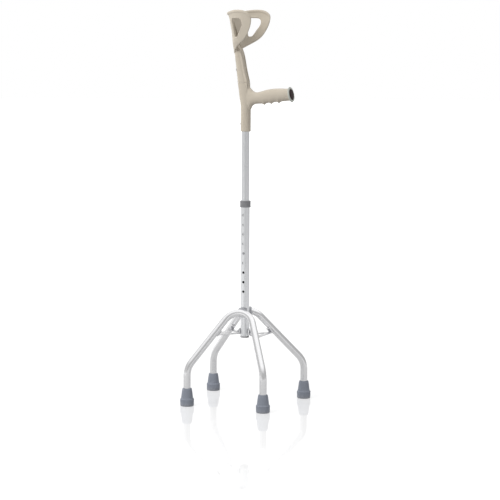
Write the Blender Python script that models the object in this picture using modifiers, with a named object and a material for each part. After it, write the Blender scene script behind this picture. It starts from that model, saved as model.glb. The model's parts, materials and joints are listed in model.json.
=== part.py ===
# Quad crutch: an elbow crutch with an open arm cuff, a telescopic pole and a four-legged base.
# Lengths are in metres and +Z is up. The origin is on the floor, at the centre of the four feet.
# +X is the way the handle points and +Y is the user's left. Heights are from the floor, and every
# other place is given from the pole's axis, where the empty that carries the pieces stands.
import bmesh
import bpy
from math import acos, copysign, cos, pi, radians, sin, tan
from mathutils import Matrix, Vector

GAP = 0.0003                      # clearance between pieces that touch

# Pole
POLE_X = 0.0075                   # the pole's axis, ahead of the footprint's centre
LOWER_TUBE_R = 0.011
UPPER_TUBE_R = 0.0095
TUBE_WALL = 0.0012
LOWER_TUBE_Z = (0.1683, 0.503)    # lower and upper end
UPPER_TUBE_Z = (0.340, 0.866)
HOLE_COUNT = 9
HOLE_PITCH = 0.024
HOLE_TOP_Z = 0.472
HOLE_R = 0.0030
BUTTON_Z = HOLE_TOP_Z - 4 * HOLE_PITCH   # the button's hole at rest
COLLAR_Z = (0.491, 0.507)
COLLAR_R = 0.0135
COLLAR_EDGE = 0.0014
PLUG_Z = 0.163
PLUG_STEM_LENGTH = 0.008
PLUG_EDGE = 0.001
DRILL_REACH = (0.013, 0.006)      # how far from the pole's axis a drill for its wall starts and ends

# Forearm section: the pole leans back above the handle
LEAN = radians(8)
LEAN_CORNER_Z = 0.738
LEAN_BEND_R = 0.150
SEAM_Z = 0.800                    # the cuff moulding stands on the handle moulding here
SLEEVE_Z = 0.679
SPINE_TOP_Z = 0.876
SPINE_TAPER = 0.55                # how the spine's tip narrows inside the bottom of the scoop
SPINE_TIP = 0.004
# height, rear face, front face and half width of the moulding round the tube
SPINE = (
    (0.679, -0.0126, 0.0126, 0.0126),
    (0.735, -0.0126, 0.0126, 0.0126),
    (0.752, -0.0142, 0.0130, 0.0125),
    (0.767, -0.0165, 0.0132, 0.0125),
    (0.781, -0.0183, 0.0122, 0.0124),
    (0.796, -0.0206, 0.0090, 0.0122),
    (0.812, -0.0222, 0.0046, 0.0119),
    (0.825, -0.0238, 0.0013, 0.0117),
    (0.840, -0.0256, -0.0016, 0.0115),
    (0.858, -0.0280, -0.0048, 0.0114),
    (0.876, -0.0302, -0.0070, 0.0114),
)

# Grip
GRIP_END_X = 0.1175
GRIP_TILT = radians(11)           # the end cap faces up by this much
GRIP_CORE_R = 0.0095
GRIP_CORE_SLOPE = radians(5)
GRIP_CORE_DEPTH = 0.062
CAP_R = 0.019
CAP_THICK = 0.0036
CAP_STEM_R = 0.0108
CAP_STEM_LENGTH = 0.010
DISC_R = 0.0135
DISC_THICK = 0.0016
# distance out, top and underside at the middle, and half width
GRIP = (
    (0.0000, 0.7920, 0.7270, 0.0112),
    (0.0124, 0.7863, 0.7322, 0.0116),
    (0.0164, 0.7820, 0.7402, 0.0119),
    (0.0215, 0.7780, 0.7450, 0.0122),
    (0.0290, 0.7759, 0.7472, 0.0126),
    (0.0430, 0.7785, 0.7480, 0.0134),
    (0.0538, 0.7817, 0.7492, 0.0140),
    (0.0645, 0.7838, 0.7508, 0.0144),
    (0.0778, 0.7855, 0.7524, 0.0147),
    (0.0912, 0.7861, 0.7537, 0.0149),
    (0.1072, 0.7861, 0.7555, 0.0150),
    (0.1175, 0.7857, 0.7562, 0.0150),
)
RIDGES = (0.0498, 0.0685, 0.0885) # finger ridges under the grip
RIDGE_HEIGHT = 0.0034
RIDGE_REACH = 0.0048
RIDGE_SHARPNESS = 1.4

# Cuff: an open scoop, given by level as its height, the centre and radius of its outer wall seen from
# above, and the turn from the back to the window's rear edge, its middle and front edge, and the free edge
CUFF_WALL = 0.0042
CUFF = (
    (0.8700, -0.0168, 0.0138, 40, 62, 88, 116),
    (0.8800, -0.0072, 0.0236, 40, 54, 68, 84),
    (0.8900, 0.0047, 0.0374, 43, 55, 68, 82),
    (0.9010, 0.0137, 0.0475, 48, 57, 67, 85),
    (0.9135, 0.0200, 0.0540, 53, 59, 65, 91),
    (0.9280, 0.0225, 0.0586, 51, 60, 70, 98),
    (0.9430, 0.0236, 0.0623, 50, 64, 79, 103),
    (0.9580, 0.0237, 0.0658, 48, 65, 81, 105),
    (0.9690, 0.0222, 0.0671, 46, 64, 81, 101),
    (0.9785, 0.0206, 0.0670, 44, 63, 80, 92),
)
WINDOW_LEVELS = (4, 7)            # the windows reach from the first of these levels to the second
# rise of the top edge at each of those turns, from the back, where it is lowest, to the free edge
TOP_RISE = (-0.0075, -0.0062, -0.0030, 0.0012, 0.0012, -0.0014, -0.0048)
# two ribs inside the back: height, distance to the side of the middle, and from the wall to the rib's axis
RIB_R = 0.0019
RIB = (
    (0.866, 0.0105, 0.0020),
    (0.878, 0.0142, 0.0012),
    (0.890, 0.0160, 0.0010),
    (0.906, 0.0150, 0.0010),
    (0.922, 0.0108, 0.0010),
    (0.938, 0.0062, 0.0008),
    (0.952, 0.0028, 0.0002),
)

# Base
LEG_TUBE_R = 0.00875
LEG_WALL = 0.0012
FOOT_Y = 0.107
FOOT_X = {"right": 0.102, "left": 0.126}       # from the footprint's centre
# where the straight legs of an arch would meet
CORNER = {"right": (0.002, 0.0035, 0.2746), "left": (0.001, 0.014, 0.2500)}
CROWN_Y = {"right": 0.0250, "left": 0.0275}    # out to the middle of an arch's crown
LEG_BEND_Z = 0.095
LEG_BEND_R = 0.050
LEG_END_Z = 0.0131
SADDLE_Z = (0.217, 0.239)
SADDLE_HALF_X = 0.009
SADDLE_START = 0.004              # inside the pole's wall, so that its bore leaves two cheeks round the pole
SADDLE_EDGE = 0.0012
SADDLE_WRAP = 0.0035              # short of the crown's middle
HUB_PIN_R = 0.0025
HUB_PIN_Z = 0.2279
BRACE_Z = 0.1725
BRACE_THICK = 0.0025
BRACE_WIDTH = 0.0105
BRACE_CORNER_R = 0.0055
BRACE_WINDOW_R = 0.002
TAB_WIDTH = 0.0125                # the tabs bent up under the legs
TAB_LENGTH = 0.0165
TAB_ROOT = 0.0015                 # the tab starts this far below the strip's middle
TAB_RIVET = 0.0105                # up the tab from the strip to its rivet
TAB_TURN = radians(35)            # round the leg, towards the other leg of the brace
POLE_TAB_TOP_Z = 0.1860
BRACE_BOLT_Z = 0.1785
BOLT_R = 0.0025
RIVET_R = 0.0020

# Rubber tips, as radius and height up the outer side
TIP_HEIGHT = 0.044
TIP_BORE_Z = 0.0110
TIP_OUTSIDE = (
    (0.0158, 0.0000), (0.0168, 0.0010), (0.0173, 0.0155), (0.0168, 0.0172), (0.0153, 0.0180),
    (0.0149, 0.0212), (0.0124, 0.0422), (0.0112, TIP_HEIGHT),
)
TIP_GROOVES = (0.0100,)           # radii of the ring grooves under each tip
GROOVE_HALF = 0.0011
GROOVE_DEPTH = 0.0014
WASHER_BORE_R = 0.0035            # the steel washer that the leg stands on inside the tip

BEIGE = (0.56, 0.51, 0.43)
SILVER = (0.72, 0.73, 0.75)
STEEL = (0.55, 0.55, 0.57)
RUBBER = (0.20, 0.21, 0.26)
GREY = (0.23, 0.23, 0.24)
PALE = (0.60, 0.61, 0.57)
MAROON = (0.045, 0.018, 0.020)
WHITE = (0.70, 0.70, 0.68)


def clear_scene():
    for obj in list(bpy.data.objects):
        bpy.data.objects.remove(obj, do_unlink=True)


def collection(name):
    made = bpy.data.collections.new(name)
    bpy.context.scene.collection.children.link(made)
    return made


def empty(name, parent=None):
    made = bpy.data.objects.new(name, None)
    PART.objects.link(made)
    made.parent = parent
    return made


clear_scene()
PART = collection("quad_crutch")
CUTTERS = collection("cutters")
CRUTCH = empty("crutch")
CRUTCH.location.x = POLE_X
UPPER = empty("upper_section", CRUTCH)     # slides along the pole's axis
UPPER_PIECES = ("upper_tube", "tube_end_bush", "button_clip", "snap_button", "handle_moulding", "grip_end_cap",
                "grip_end_disc", "handle_rivet", "cuff_moulding", "cuff_rivet")


def material(name, color, roughness, metallic):
    mat = bpy.data.materials.get(name) or bpy.data.materials.new(name)
    mat.use_nodes = True
    shader = mat.node_tree.nodes["Principled BSDF"]
    shader.inputs["Base Color"].default_value = (*color, 1)
    shader.inputs["Roughness"].default_value = roughness
    shader.inputs["Metallic"].default_value = metallic
    return mat


FINISH = {
    "beige_plastic": material("beige_plastic", BEIGE, 0.45, 0.0),
    "anodised_tube": material("anodised_tube", SILVER, 0.30, 1.0),
    "leg_tube": material("leg_tube", SILVER, 0.18, 1.0),
    "bright_steel": material("bright_steel", STEEL, 0.30, 1.0),
    "tip_rubber": material("tip_rubber", RUBBER, 0.75, 0.0),
    "grey_plastic": material("grey_plastic", GREY, 0.50, 0.0),
    "cap_plastic": material("cap_plastic", PALE, 0.45, 0.0),
    "disc_plastic": material("disc_plastic", MAROON, 0.25, 0.0),
    "white_plastic": material("white_plastic", WHITE, 0.50, 0.0),
}


def add(name, mesh, finish=None):
    """An object for a mesh: a piece with a finish, or a cutter without one."""
    obj = bpy.data.objects.new(name, mesh)
    obj.parent = UPPER if name in UPPER_PIECES else CRUTCH
    if finish is None:
        CUTTERS.objects.link(obj)
        obj.hide_render = True
        obj.display_type = "WIRE"
    else:
        PART.objects.link(obj)
        mesh.materials.append(FINISH[finish])
    return obj


def mesh_of(bm, name):
    """A mesh, shaded smooth but for its edges of more than 35 degrees."""
    mesh = bpy.data.meshes.new(name)
    bm.to_mesh(mesh)
    bm.free()
    mesh.shade_smooth()
    mesh.set_sharp_from_angle(angle=radians(35))
    return mesh


def turned(name, profile, finish=None, steps=24, closed=True):
    """A turned piece. The profile is (radius, height) down the outer side; a closed one is a ring."""
    bm = bmesh.new()
    verts = [bm.verts.new((r, 0, z)) for r, z in profile]
    for a, b in zip(verts, verts[1:]):
        bm.edges.new((a, b))
    if closed:
        bm.edges.new((verts[-1], verts[0]))
    obj = add(name, mesh_of(bm, name), finish)
    screw = obj.modifiers.new("turn", "SCREW")
    screw.axis = "Z"
    screw.steps = steps
    screw.render_steps = steps
    screw.use_merge_vertices = True
    screw.merge_threshold = 0.00001
    screw.use_smooth_shade = True
    return obj


def aim(obj, at, axis=(0, 0, 1)):
    """Place an object with its own Z along an axis."""
    turn = Vector(axis).to_track_quat("Z", "Y").to_matrix().to_4x4()
    obj.matrix_basis = Matrix.Translation(at) @ turn
    return obj


def rod(name, start, end, radius, finish=None, sides=16):
    """A plain round bar between two points."""
    start, end = Vector(start), Vector(end)
    bm = bmesh.new()
    bmesh.ops.create_cone(bm, cap_ends=True, segments=sides, radius1=radius, radius2=radius,
                          depth=(end - start).length)
    return aim(add(name, mesh_of(bm, name), finish), (start + end) / 2, end - start)


def block(name, low, high, finish=None):
    """A box between two corners."""
    low, high = Vector(low), Vector(high)
    bm = bmesh.new()
    bmesh.ops.create_cube(bm, size=1, matrix=Matrix.Diagonal((*(high - low), 1)))
    obj = add(name, mesh_of(bm, name), finish)
    obj.location = (low + high) / 2
    return obj


def cut(obj, *cutters, operation="DIFFERENCE"):
    for cutter in cutters:
        boolean = obj.modifiers.new(cutter.name, "BOOLEAN")
        boolean.operation = operation
        boolean.object = cutter
    return obj


def join(obj, *others):
    return cut(obj, *others, operation="UNION")


def rounded(corners, radii, step=radians(9)):
    """Points along straight runs whose corners are arcs of the given radii."""
    corners = [Vector(c) for c in corners]
    points = [corners[0]]
    for before, corner, after, radius in zip(corners, corners[1:], corners[2:], radii):
        back, ahead = (before - corner).normalized(), (after - corner).normalized()
        half = acos(max(-1, min(1, back.dot(ahead)))) / 2
        middle = (back + ahead).normalized()
        centre = corner + middle * radius / sin(half)
        first = corner + back * radius / tan(half)
        sweep = pi - 2 * half
        count = max(1, round(sweep / step))
        axis = back.cross(first - centre).normalized()
        for i in range(count + 1):
            turn = Matrix.Rotation(sweep * i / count, 3, axis)
            points.append(centre + turn @ (first - centre))
    return points + [corners[-1]]


def swept(name, route, radius, finish=None, sides=16, wall=0):
    """A round bar along a route, or a tube where it has a wall."""
    curve = bpy.data.curves.new(name, "CURVE")
    curve.dimensions = "3D"
    curve.bevel_depth = radius
    curve.bevel_resolution = (sides - 4) // 2
    curve.use_fill_caps = not wall
    spline = curve.splines.new("POLY")
    spline.points.add(len(route) - 1)
    for point, place in zip(spline.points, route):
        point.co = (*place, 1)
    guide = bpy.data.objects.new(name + "_route", curve)
    CUTTERS.objects.link(guide)
    evaluated = guide.evaluated_get(bpy.context.evaluated_depsgraph_get())
    mesh = bpy.data.meshes.new_from_object(evaluated)
    bpy.data.objects.remove(guide)
    bm = bmesh.new()
    bm.from_mesh(mesh)
    bmesh.ops.remove_doubles(bm, verts=bm.verts, dist=0.00001)
    obj = add(name, mesh_of(bm, name), finish)
    if wall:
        shell = obj.modifiers.new("wall", "SOLIDIFY")
        shell.thickness = wall
        shell.offset = -1
        shell.use_even_offset = True
    return obj


def loft(name, rings, finish=None):
    """A closed skin through rings that have equally many points, capped at both ends."""
    bm = bmesh.new()
    made = [[bm.verts.new(p) for p in ring] for ring in rings]
    for low, high in zip(made, made[1:]):
        for i in range(len(low)):
            j = (i + 1) % len(low)
            bm.faces.new((low[i], low[j], high[j], high[i]))
    bm.faces.new(made[0][::-1])
    bm.faces.new(made[-1])
    bmesh.ops.recalc_face_normals(bm, faces=bm.faces)
    return add(name, mesh_of(bm, name), finish)


def along(table, x):
    """A row of a table at x, on smooth curves through the table's rows."""
    last = len(table) - 1
    k = max(0, min(last - 1, sum(row[0] <= x for row in table) - 1))
    rows = [table[max(0, min(last, k + i))] for i in (-1, 0, 1, 2)]
    x1, x2 = rows[1][0], rows[2][0]
    t = (x - x1) / (x2 - x1)
    out = []
    for column in range(1, len(table[0])):
        p0, p1, p2, p3 = (row[column] for row in rows)
        m1 = (p2 - p0) / max(rows[2][0] - rows[0][0], 1e-9) * (x2 - x1)
        m2 = (p3 - p1) / max(rows[3][0] - rows[1][0], 1e-9) * (x2 - x1)
        out.append((2 * t**3 - 3 * t**2 + 1) * p1 + (t**3 - 2 * t**2 + t) * m1
                   + (3 * t**2 - 2 * t**3) * p2 + (t**3 - t**2) * m2)
    return out


def flat(name, outlines, thickness, z, finish=None):
    """A flat plate with straight-through windows: the first outline is the rim."""
    curve = bpy.data.curves.new(name, "CURVE")
    curve.dimensions = "2D"
    curve.fill_mode = "BOTH"
    curve.extrude = thickness / 2
    for outline in outlines:
        spline = curve.splines.new("POLY")
        spline.points.add(len(outline) - 1)
        for point, (x, y) in zip(spline.points, outline):
            point.co = (x, y, 0, 1)
        spline.use_cyclic_u = True
    guide = bpy.data.objects.new(name + "_outline", curve)
    CUTTERS.objects.link(guide)
    mesh = bpy.data.meshes.new_from_object(guide.evaluated_get(bpy.context.evaluated_depsgraph_get()))
    bpy.data.objects.remove(guide)
    bm = bmesh.new()
    bm.from_mesh(mesh)
    bmesh.ops.remove_doubles(bm, verts=bm.verts, dist=0.00001)
    bmesh.ops.translate(bm, verts=bm.verts, vec=(0, 0, z))
    return add(name, mesh_of(bm, name), finish)


def rounded_polygon(corners, radius):
    """A flat outline with every corner rounded."""
    corners = [Vector((*c, 0)) for c in corners]
    points = []
    for k, corner in enumerate(corners):
        back = (corners[k - 1] - corner).normalized()
        ahead = (corners[(k + 1) % len(corners)] - corner).normalized()
        half = back.angle(ahead) / 2
        reach = radius / tan(half)
        arc = rounded([corner + back * reach * 2, corner, corner + ahead * reach * 2], [radius],
                      step=radians(25))
        points += [(p.x, p.y) for p in arc[1:-1]]
    return points


def inset(corners, distance):
    """A convex outline, given anticlockwise, moved in on every side."""
    corners = [Vector(c) for c in corners]
    moved = []
    for k, corner in enumerate(corners):
        back = (corners[k - 1] - corner).normalized()
        ahead = (corners[(k + 1) % len(corners)] - corner).normalized()
        half = back.angle(ahead) / 2
        moved.append(corner + (back + ahead).normalized() * distance / sin(half))
    return moved


def lean_x(z):
    """Where the leaning tube's axis is at a height."""
    return -max(0, z - LEAN_CORNER_Z) * tan(LEAN)


def upper_route(low, high):
    corners = [(0, 0, low), (0, 0, LEAN_CORNER_Z), (lean_x(high), 0, high)]
    return rounded(corners, [LEAN_BEND_R], step=radians(2.7))


def pole_cutter(name, low, high):
    return rod(name, (0, 0, low), (0, 0, high), LOWER_TUBE_R + GAP, sides=24)


# Pole

def make_lower_tube():
    low, high = LOWER_TUBE_Z
    inner = LOWER_TUBE_R - TUBE_WALL
    outside, inside = DRILL_REACH
    tube = turned("lower_tube", [(LOWER_TUBE_R, high), (LOWER_TUBE_R, low), (inner, low), (inner, high)],
                  "anodised_tube")
    for i in range(HOLE_COUNT):
        z = HOLE_TOP_Z - i * HOLE_PITCH
        cut(tube, rod(f"height_hole_{i + 1}", (0, -outside, z), (0, -inside, z), HOLE_R, sides=10))
    for name, z, way, radius in (("hub_pin_hole", HUB_PIN_Z, Vector((0, outside, 0)), HUB_PIN_R),
                                 ("brace_bolt_hole", BRACE_BOLT_Z, Vector((outside, 0, 0)), BOLT_R)):
        middle = Vector((0, 0, z))
        cut(tube, rod(name, middle - way, middle + way, radius + GAP, sides=10))


def make_collar():
    low, high = COLLAR_Z
    over, lip = LOWER_TUBE_R + GAP, UPPER_TUBE_R + GAP
    shoulder = LOWER_TUBE_Z[1] + GAP
    edge = COLLAR_EDGE
    profile = [(COLLAR_R - edge, high), (COLLAR_R - 0.3 * edge, high - 0.3 * edge), (COLLAR_R, high - edge),
               (COLLAR_R, low + edge), (COLLAR_R - edge / 2, low), (over, low), (over, shoulder),
               (lip, shoulder), (lip, high)]
    turned("tube_collar", profile, "grey_plastic")


def make_end_plug():
    stem = LOWER_TUBE_R - TUBE_WALL - GAP
    seat = LOWER_TUBE_Z[0] - GAP
    top = seat + PLUG_STEM_LENGTH
    profile = [(0, top), (stem - PLUG_EDGE, top), (stem, top - PLUG_EDGE), (stem, seat), (LOWER_TUBE_R, seat),
               (LOWER_TUBE_R, PLUG_Z + PLUG_EDGE), (LOWER_TUBE_R - PLUG_EDGE, PLUG_Z), (0, PLUG_Z)]
    turned("pole_end_plug", profile, "grey_plastic", closed=False)


HANDLE_RIVET_Z = 0.698
CUFF_RIVET_Z = 0.832
BACK_DRILL = (0.004, 0.022)       # from the tube's axis out through the moulding


def rivet_axis(z):
    """The upper tube's axis at a height, and the way out through its rear wall."""
    lean = LEAN if z > LEAN_CORNER_Z else 0
    return Vector((lean_x(z), 0, z)), Vector((-cos(lean), 0, -sin(lean)))


def rivet_hole(name, z):
    """A hole through the rear wall of the upper tube and of the moulding on it."""
    place, out = rivet_axis(z)
    start, end = BACK_DRILL
    return rod(name, place + out * start, place + out * end, RIVET_R + GAP, sides=12)


def make_upper_tube():
    tube = swept("upper_tube", upper_route(*UPPER_TUBE_Z), UPPER_TUBE_R, "anodised_tube", sides=20,
                 wall=TUBE_WALL)
    cut(tube, rod("button_hole", (0, -DRILL_REACH[0], BUTTON_Z), (0, -0.004, BUTTON_Z), HOLE_R, sides=12),
        rivet_hole("tube_hole_handle", HANDLE_RIVET_Z), rivet_hole("tube_hole_cuff", CUFF_RIVET_Z))


BUSH_BORE_R = 0.0055
BUSH_STEM_LENGTH = 0.008
BUSH_FLANGE = 0.003
BUSH_EDGE = 0.0008


def make_end_bush():
    outer, stem = UPPER_TUBE_R - 0.0001, UPPER_TUBE_R - TUBE_WALL - GAP
    seat = UPPER_TUBE_Z[0] - GAP
    top = seat + BUSH_STEM_LENGTH
    profile = [(stem - BUSH_EDGE, top), (stem, top - BUSH_EDGE), (stem, seat), (outer, seat),
               (outer, seat - BUSH_FLANGE), (BUSH_BORE_R, seat - BUSH_FLANGE), (BUSH_BORE_R, top)]
    turned("tube_end_bush", profile, "white_plastic", steps=16)


BUTTON_R = 0.0026
BUTTON_TIP_Y = 0.0142             # the dome's top
BUTTON_DOME = 0.0016
BUTTON_FLANGE = (0.0042, 0.0066, 0.0054)   # radius, outer and inner face of its flange


def make_button():
    """The button points away from the pole towards -Y, so its profile is turned and then laid over."""
    flange_r, out, inside = BUTTON_FLANGE
    shoulder = BUTTON_TIP_Y - BUTTON_DOME
    profile = [(0, BUTTON_TIP_Y), (0.5 * BUTTON_R, shoulder + 0.8 * BUTTON_DOME),
               (0.87 * BUTTON_R, shoulder + 0.5 * BUTTON_DOME), (BUTTON_R, shoulder), (BUTTON_R, out),
               (flange_r, out), (flange_r, inside), (0, inside)]
    aim(turned("snap_button", profile, "bright_steel", steps=12, closed=False), (0, 0, BUTTON_Z), (0, -1, 0))


CLIP_THICK = 0.0006
CLIP_WIDTH = 0.0065
CLIP_HALF_FLAT = 0.007            # the flat behind the button, above and below the button's axis
CLIP_FOLD_Z = UPPER_TUBE_Z[0] + 0.0135
CLIP_FAR_Y = 0.0056               # the far leg, just clear of the tube's wall
CLIP_BENDS = (0.004, 0.0018, 0.006)


def make_clip():
    """A strip bent to a V, with one leg behind the button and the other on the far wall."""
    behind = BUTTON_FLANGE[2] - GAP - CLIP_THICK / 2
    high, low = BUTTON_Z + CLIP_HALF_FLAT, BUTTON_Z - CLIP_HALF_FLAT
    middle = rounded([(-behind, high, 0), (-behind, low, 0), (-0.0005, CLIP_FOLD_Z, 0),
                      (CLIP_FAR_Y, BUTTON_Z - 0.002, 0), (CLIP_FAR_Y - 0.0007, high, 0)],
                     CLIP_BENDS, step=radians(20))
    left, right = [], []
    for k, point in enumerate(middle):
        ahead = (middle[min(k + 1, len(middle) - 1)] - middle[max(k - 1, 0)]).normalized()
        side = Vector((-ahead.y, ahead.x, 0)) * CLIP_THICK / 2
        left.append((point + side).xy)
        right.append((point - side).xy)
    clip = flat("button_clip", [left + right[::-1]], CLIP_WIDTH, 0, "bright_steel")
    clip.matrix_basis = Matrix(((0, 0, 1, 0), (1, 0, 0, 0), (0, 1, 0, 0), (0, 0, 0, 1)))


# Handle and cuff

def spine_ring(z, points=18):
    rear, front, half = along(SPINE, z)
    middle, depth = (rear + front) / 2, (front - rear) / 2
    return [(middle + depth * cos(2 * pi * i / points), half * sin(2 * pi * i / points), z)
            for i in range(points)]


def ridge(x):
    """How far a finger ridge stands out at a place along the grip."""
    return RIDGE_HEIGHT * sum(max(0, 1 - abs(x - r) / RIDGE_REACH) ** RIDGE_SHARPNESS for r in RIDGES)


def grip_ring(x, points=18):
    top, under, half = along(GRIP, x)
    middle, rise = (top + under) / 2, (top - under) / 2
    tilt = GRIP_TILT * min(1, max(0, (x - 0.03) / (GRIP_END_X - 0.03)))
    ring = []
    for i in range(points):
        a = 2 * pi * i / points
        up = rise * sin(a) - (ridge(x) * sin(a) ** 2 if sin(a) < 0 else 0)
        ring.append((x - up * sin(tilt), half * cos(a), middle + up * cos(tilt)))
    return ring


def grip_axis(tilt):
    return Vector((cos(tilt), 0, sin(tilt)))


def grip_end():
    top, under, _ = along(GRIP, GRIP_END_X)
    return Vector((GRIP_END_X, 0, (top + under) / 2))


SLEEVE_EDGE = 0.0009


def make_handle():
    levels = [row[0] for row in SPINE if SLEEVE_Z < row[0] < SEAM_Z - 0.01]
    between = [(low + high) / 2 for low, high in zip(levels, levels[1:])]
    heights = sorted([SLEEVE_Z + SLEEVE_EDGE, *levels, *between, SEAM_Z - 0.011, SEAM_Z - GAP / 2])
    narrow = 1 - SLEEVE_EDGE / SPINE[0][3]
    foot = [(x * narrow, y * narrow, SLEEVE_Z) for x, y, _ in spine_ring(SLEEVE_Z)]
    handle = loft("handle_moulding", [foot] + [spine_ring(z) for z in heights], "beige_plastic")
    stations = {row[0] for row in GRIP}
    stations |= {r + k * RIDGE_REACH for r in RIDGES for k in (-1, -0.5, 0, 0.5, 1)}
    join(handle, loft("grip", [grip_ring(x) for x in sorted(stations)]))
    end = grip_end()
    outward, along_core = grip_axis(GRIP_TILT), grip_axis(GRIP_CORE_SLOPE)
    cut(handle, swept("handle_bore", upper_route(0.66, 0.82), UPPER_TUBE_R + GAP, sides=20),
        rod("cap_socket", end - outward * (CAP_STEM_LENGTH + 0.002), end + outward * 0.01, CAP_STEM_R + GAP,
            sides=24),
        rod("grip_core", end - along_core * GRIP_CORE_DEPTH, end, GRIP_CORE_R, sides=20),
        rivet_hole("sleeve_hole", HANDLE_RIVET_Z))


CAP_EDGE = 0.0011
CAP_WALL = 0.002


def make_grip_end():
    end, outward = grip_end(), grip_axis(GRIP_TILT)
    recess = CAP_THICK - DISC_THICK / 2
    edge, hollow = CAP_EDGE, CAP_STEM_R - CAP_WALL
    cap = [(DISC_R + GAP, CAP_THICK), (CAP_R - edge, CAP_THICK), (CAP_R - 0.3 * edge, CAP_THICK - 0.3 * edge),
           (CAP_R, CAP_THICK - edge), (CAP_R, edge), (CAP_R - edge, 0), (CAP_STEM_R, 0),
           (CAP_STEM_R, -CAP_STEM_LENGTH), (hollow, -CAP_STEM_LENGTH), (hollow, recess - 0.0015),
           (0, recess - 0.0015), (0, recess), (DISC_R + GAP, recess)]
    # the ring is open towards the grip, so its profile starts and ends on the axis
    start = cap.index((0, recess))
    turned_cap = cap[start:] + cap[:start]
    aim(turned("grip_end_cap", turned_cap, "cap_plastic", closed=False), end + outward * GAP, outward)
    low = recess + GAP
    dome = [(0, 1), (0.6, 0.92), (0.955, 0.7), (1, 0.4), (1, 0), (0, 0)]
    disc = [(DISC_R * out, low + DISC_THICK * up) for out, up in dome]
    aim(turned("grip_end_disc", disc, "disc_plastic", closed=False), end + outward * GAP, outward)


def cuff_cage():
    """The left half of the cuff's outer wall as a coarse open cage, without the faces of its window."""
    bm = bmesh.new()
    grid = []
    for level, (z, centre, radius, rear, middle, front, edge) in enumerate(CUFF):
        turns = (0, rear / 2, rear, middle, front, (front + edge) / 2, edge)
        share = max(0, 1 - (len(CUFF) - 1 - level) / 2)
        row = []
        for turn, rise in zip(turns, TOP_RISE):
            x, y = centre - radius * cos(radians(turn)), radius * sin(radians(turn))
            row.append(bm.verts.new((x, y, z + share * rise)))
        grid.append(row)
    first, last = WINDOW_LEVELS
    for k, (low, high) in enumerate(zip(grid, grid[1:])):
        for i in range(len(low) - 1):
            if first <= k < last and i in (2, 3):
                continue
            bm.faces.new((low[i], high[i], high[i + 1], low[i + 1]))
    return mesh_of(bm, "cuff_moulding")


def rib_route(side):
    """The axis of a rib, which rises from the spine's flank and nears the middle of the back."""
    route = []
    for z, aside, stand in RIB:
        centre, radius = along(CUFF, max(CUFF[0][0], z))[:2]
        reach = max(radius - CUFF_WALL - stand, aside)
        depth = (reach**2 - aside**2) ** 0.5
        route.append((centre - depth, side * aside, z))
    return route


def make_cuff():
    cuff = add("cuff_moulding", cuff_cage(), "beige_plastic")
    mirror = cuff.modifiers.new("both_wings", "MIRROR")
    mirror.use_axis = (False, True, False)
    mirror.use_clip = True
    mirror.merge_threshold = 0.00001
    wall = cuff.modifiers.new("wall", "SOLIDIFY")
    wall.thickness = CUFF_WALL
    wall.offset = -1
    rounding = cuff.modifiers.new("rounding", "SUBSURF")
    rounding.levels = 1
    rounding.render_levels = 1
    heights = [SEAM_Z + GAP / 2] + [row[0] for row in SPINE if row[0] > SEAM_Z]
    middle = sum(along(SPINE, SPINE_TOP_Z)[:2]) / 2
    tip = [(middle + SPINE_TAPER * (x - middle), SPINE_TAPER * y, SPINE_TOP_Z + SPINE_TIP)
           for x, y, _ in spine_ring(SPINE_TOP_Z)]
    join(cuff, loft("spine", [spine_ring(z) for z in heights] + [tip]),
         swept("right_rib", rib_route(-1), RIB_R, sides=6), swept("left_rib", rib_route(1), RIB_R, sides=6))
    cut(cuff, swept("cuff_bore", upper_route(0.72, UPPER_TUBE_Z[1] + 0.001), UPPER_TUBE_R + GAP, sides=20),
        rivet_hole("spine_hole", CUFF_RIVET_Z))


HEAD_R = 0.0037
HEAD_RISE = 0.0016


def rivet_profile(seat, inner):
    """A domed head that stands on its seat, and a shank down to inside the tube."""
    return [(0, seat + HEAD_RISE), (0.60 * HEAD_R, seat + 0.8 * HEAD_RISE), (HEAD_R, seat), (RIVET_R, seat),
            (RIVET_R, inner), (0, inner)]


def make_back_rivets():
    for name, z in (("handle_rivet", HANDLE_RIVET_Z), ("cuff_rivet", CUFF_RIVET_Z)):
        place, out = rivet_axis(z)
        seat = (lean_x(z) - along(SPINE, z)[0]) * -out.x + GAP
        profile = rivet_profile(seat, UPPER_TUBE_R - TUBE_WALL - 0.0008)
        aim(turned(name, profile, "bright_steel", steps=12, closed=False), place, out)


# Base

def leg_corners(side):
    """Foot, bend, crown corner, bend and foot of one arch, rear leg first."""
    y = FOOT_Y if side == "left" else -FOOT_Y
    rear, front = -FOOT_X[side] - POLE_X, FOOT_X[side] - POLE_X
    return [Vector(p) for p in ((rear, y, LEG_END_Z), (rear, y, LEG_BEND_Z), CORNER[side],
                                (front, y, LEG_BEND_Z), (front, y, LEG_END_Z))]


def crown_radius(side):
    """The bend that puts the crown's middle as far out as it stands."""
    _, rear, corner, front, _ = leg_corners(side)
    back, ahead = (rear - corner).normalized(), (front - corner).normalized()
    half = back.angle(ahead) / 2
    middle = (back + ahead).normalized()
    drop = (CROWN_Y[side] - corner.y * copysign(1, rear.y)) / abs(middle.y)
    return drop * sin(half) / (1 - sin(half))


def arch_route(side):
    return rounded(leg_corners(side), [LEG_BEND_R, crown_radius(side), LEG_BEND_R], step=radians(12))


def leg_frame(side, end):
    """A tab's place at the strip's height, on its middle plane, with the ways up the leg, out and across."""
    _, rear, corner, front, _ = leg_corners(side)
    up = (corner - (front if end == "front" else rear)).normalized()
    side_on = Vector((-up.y, up.x, 0)).normalized()
    side_on *= -copysign(1, side_on.y * rear.y)
    below = up.cross(side_on)
    below *= -copysign(1, below.z)
    under = below * cos(TAB_TURN) + side_on * sin(TAB_TURN)
    across = under.cross(up)
    place = corner + under * (LEG_TUBE_R + GAP + BRACE_THICK / 2)
    return place + up * (BRACE_Z - place.z) / up.z, up, under, across


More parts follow.
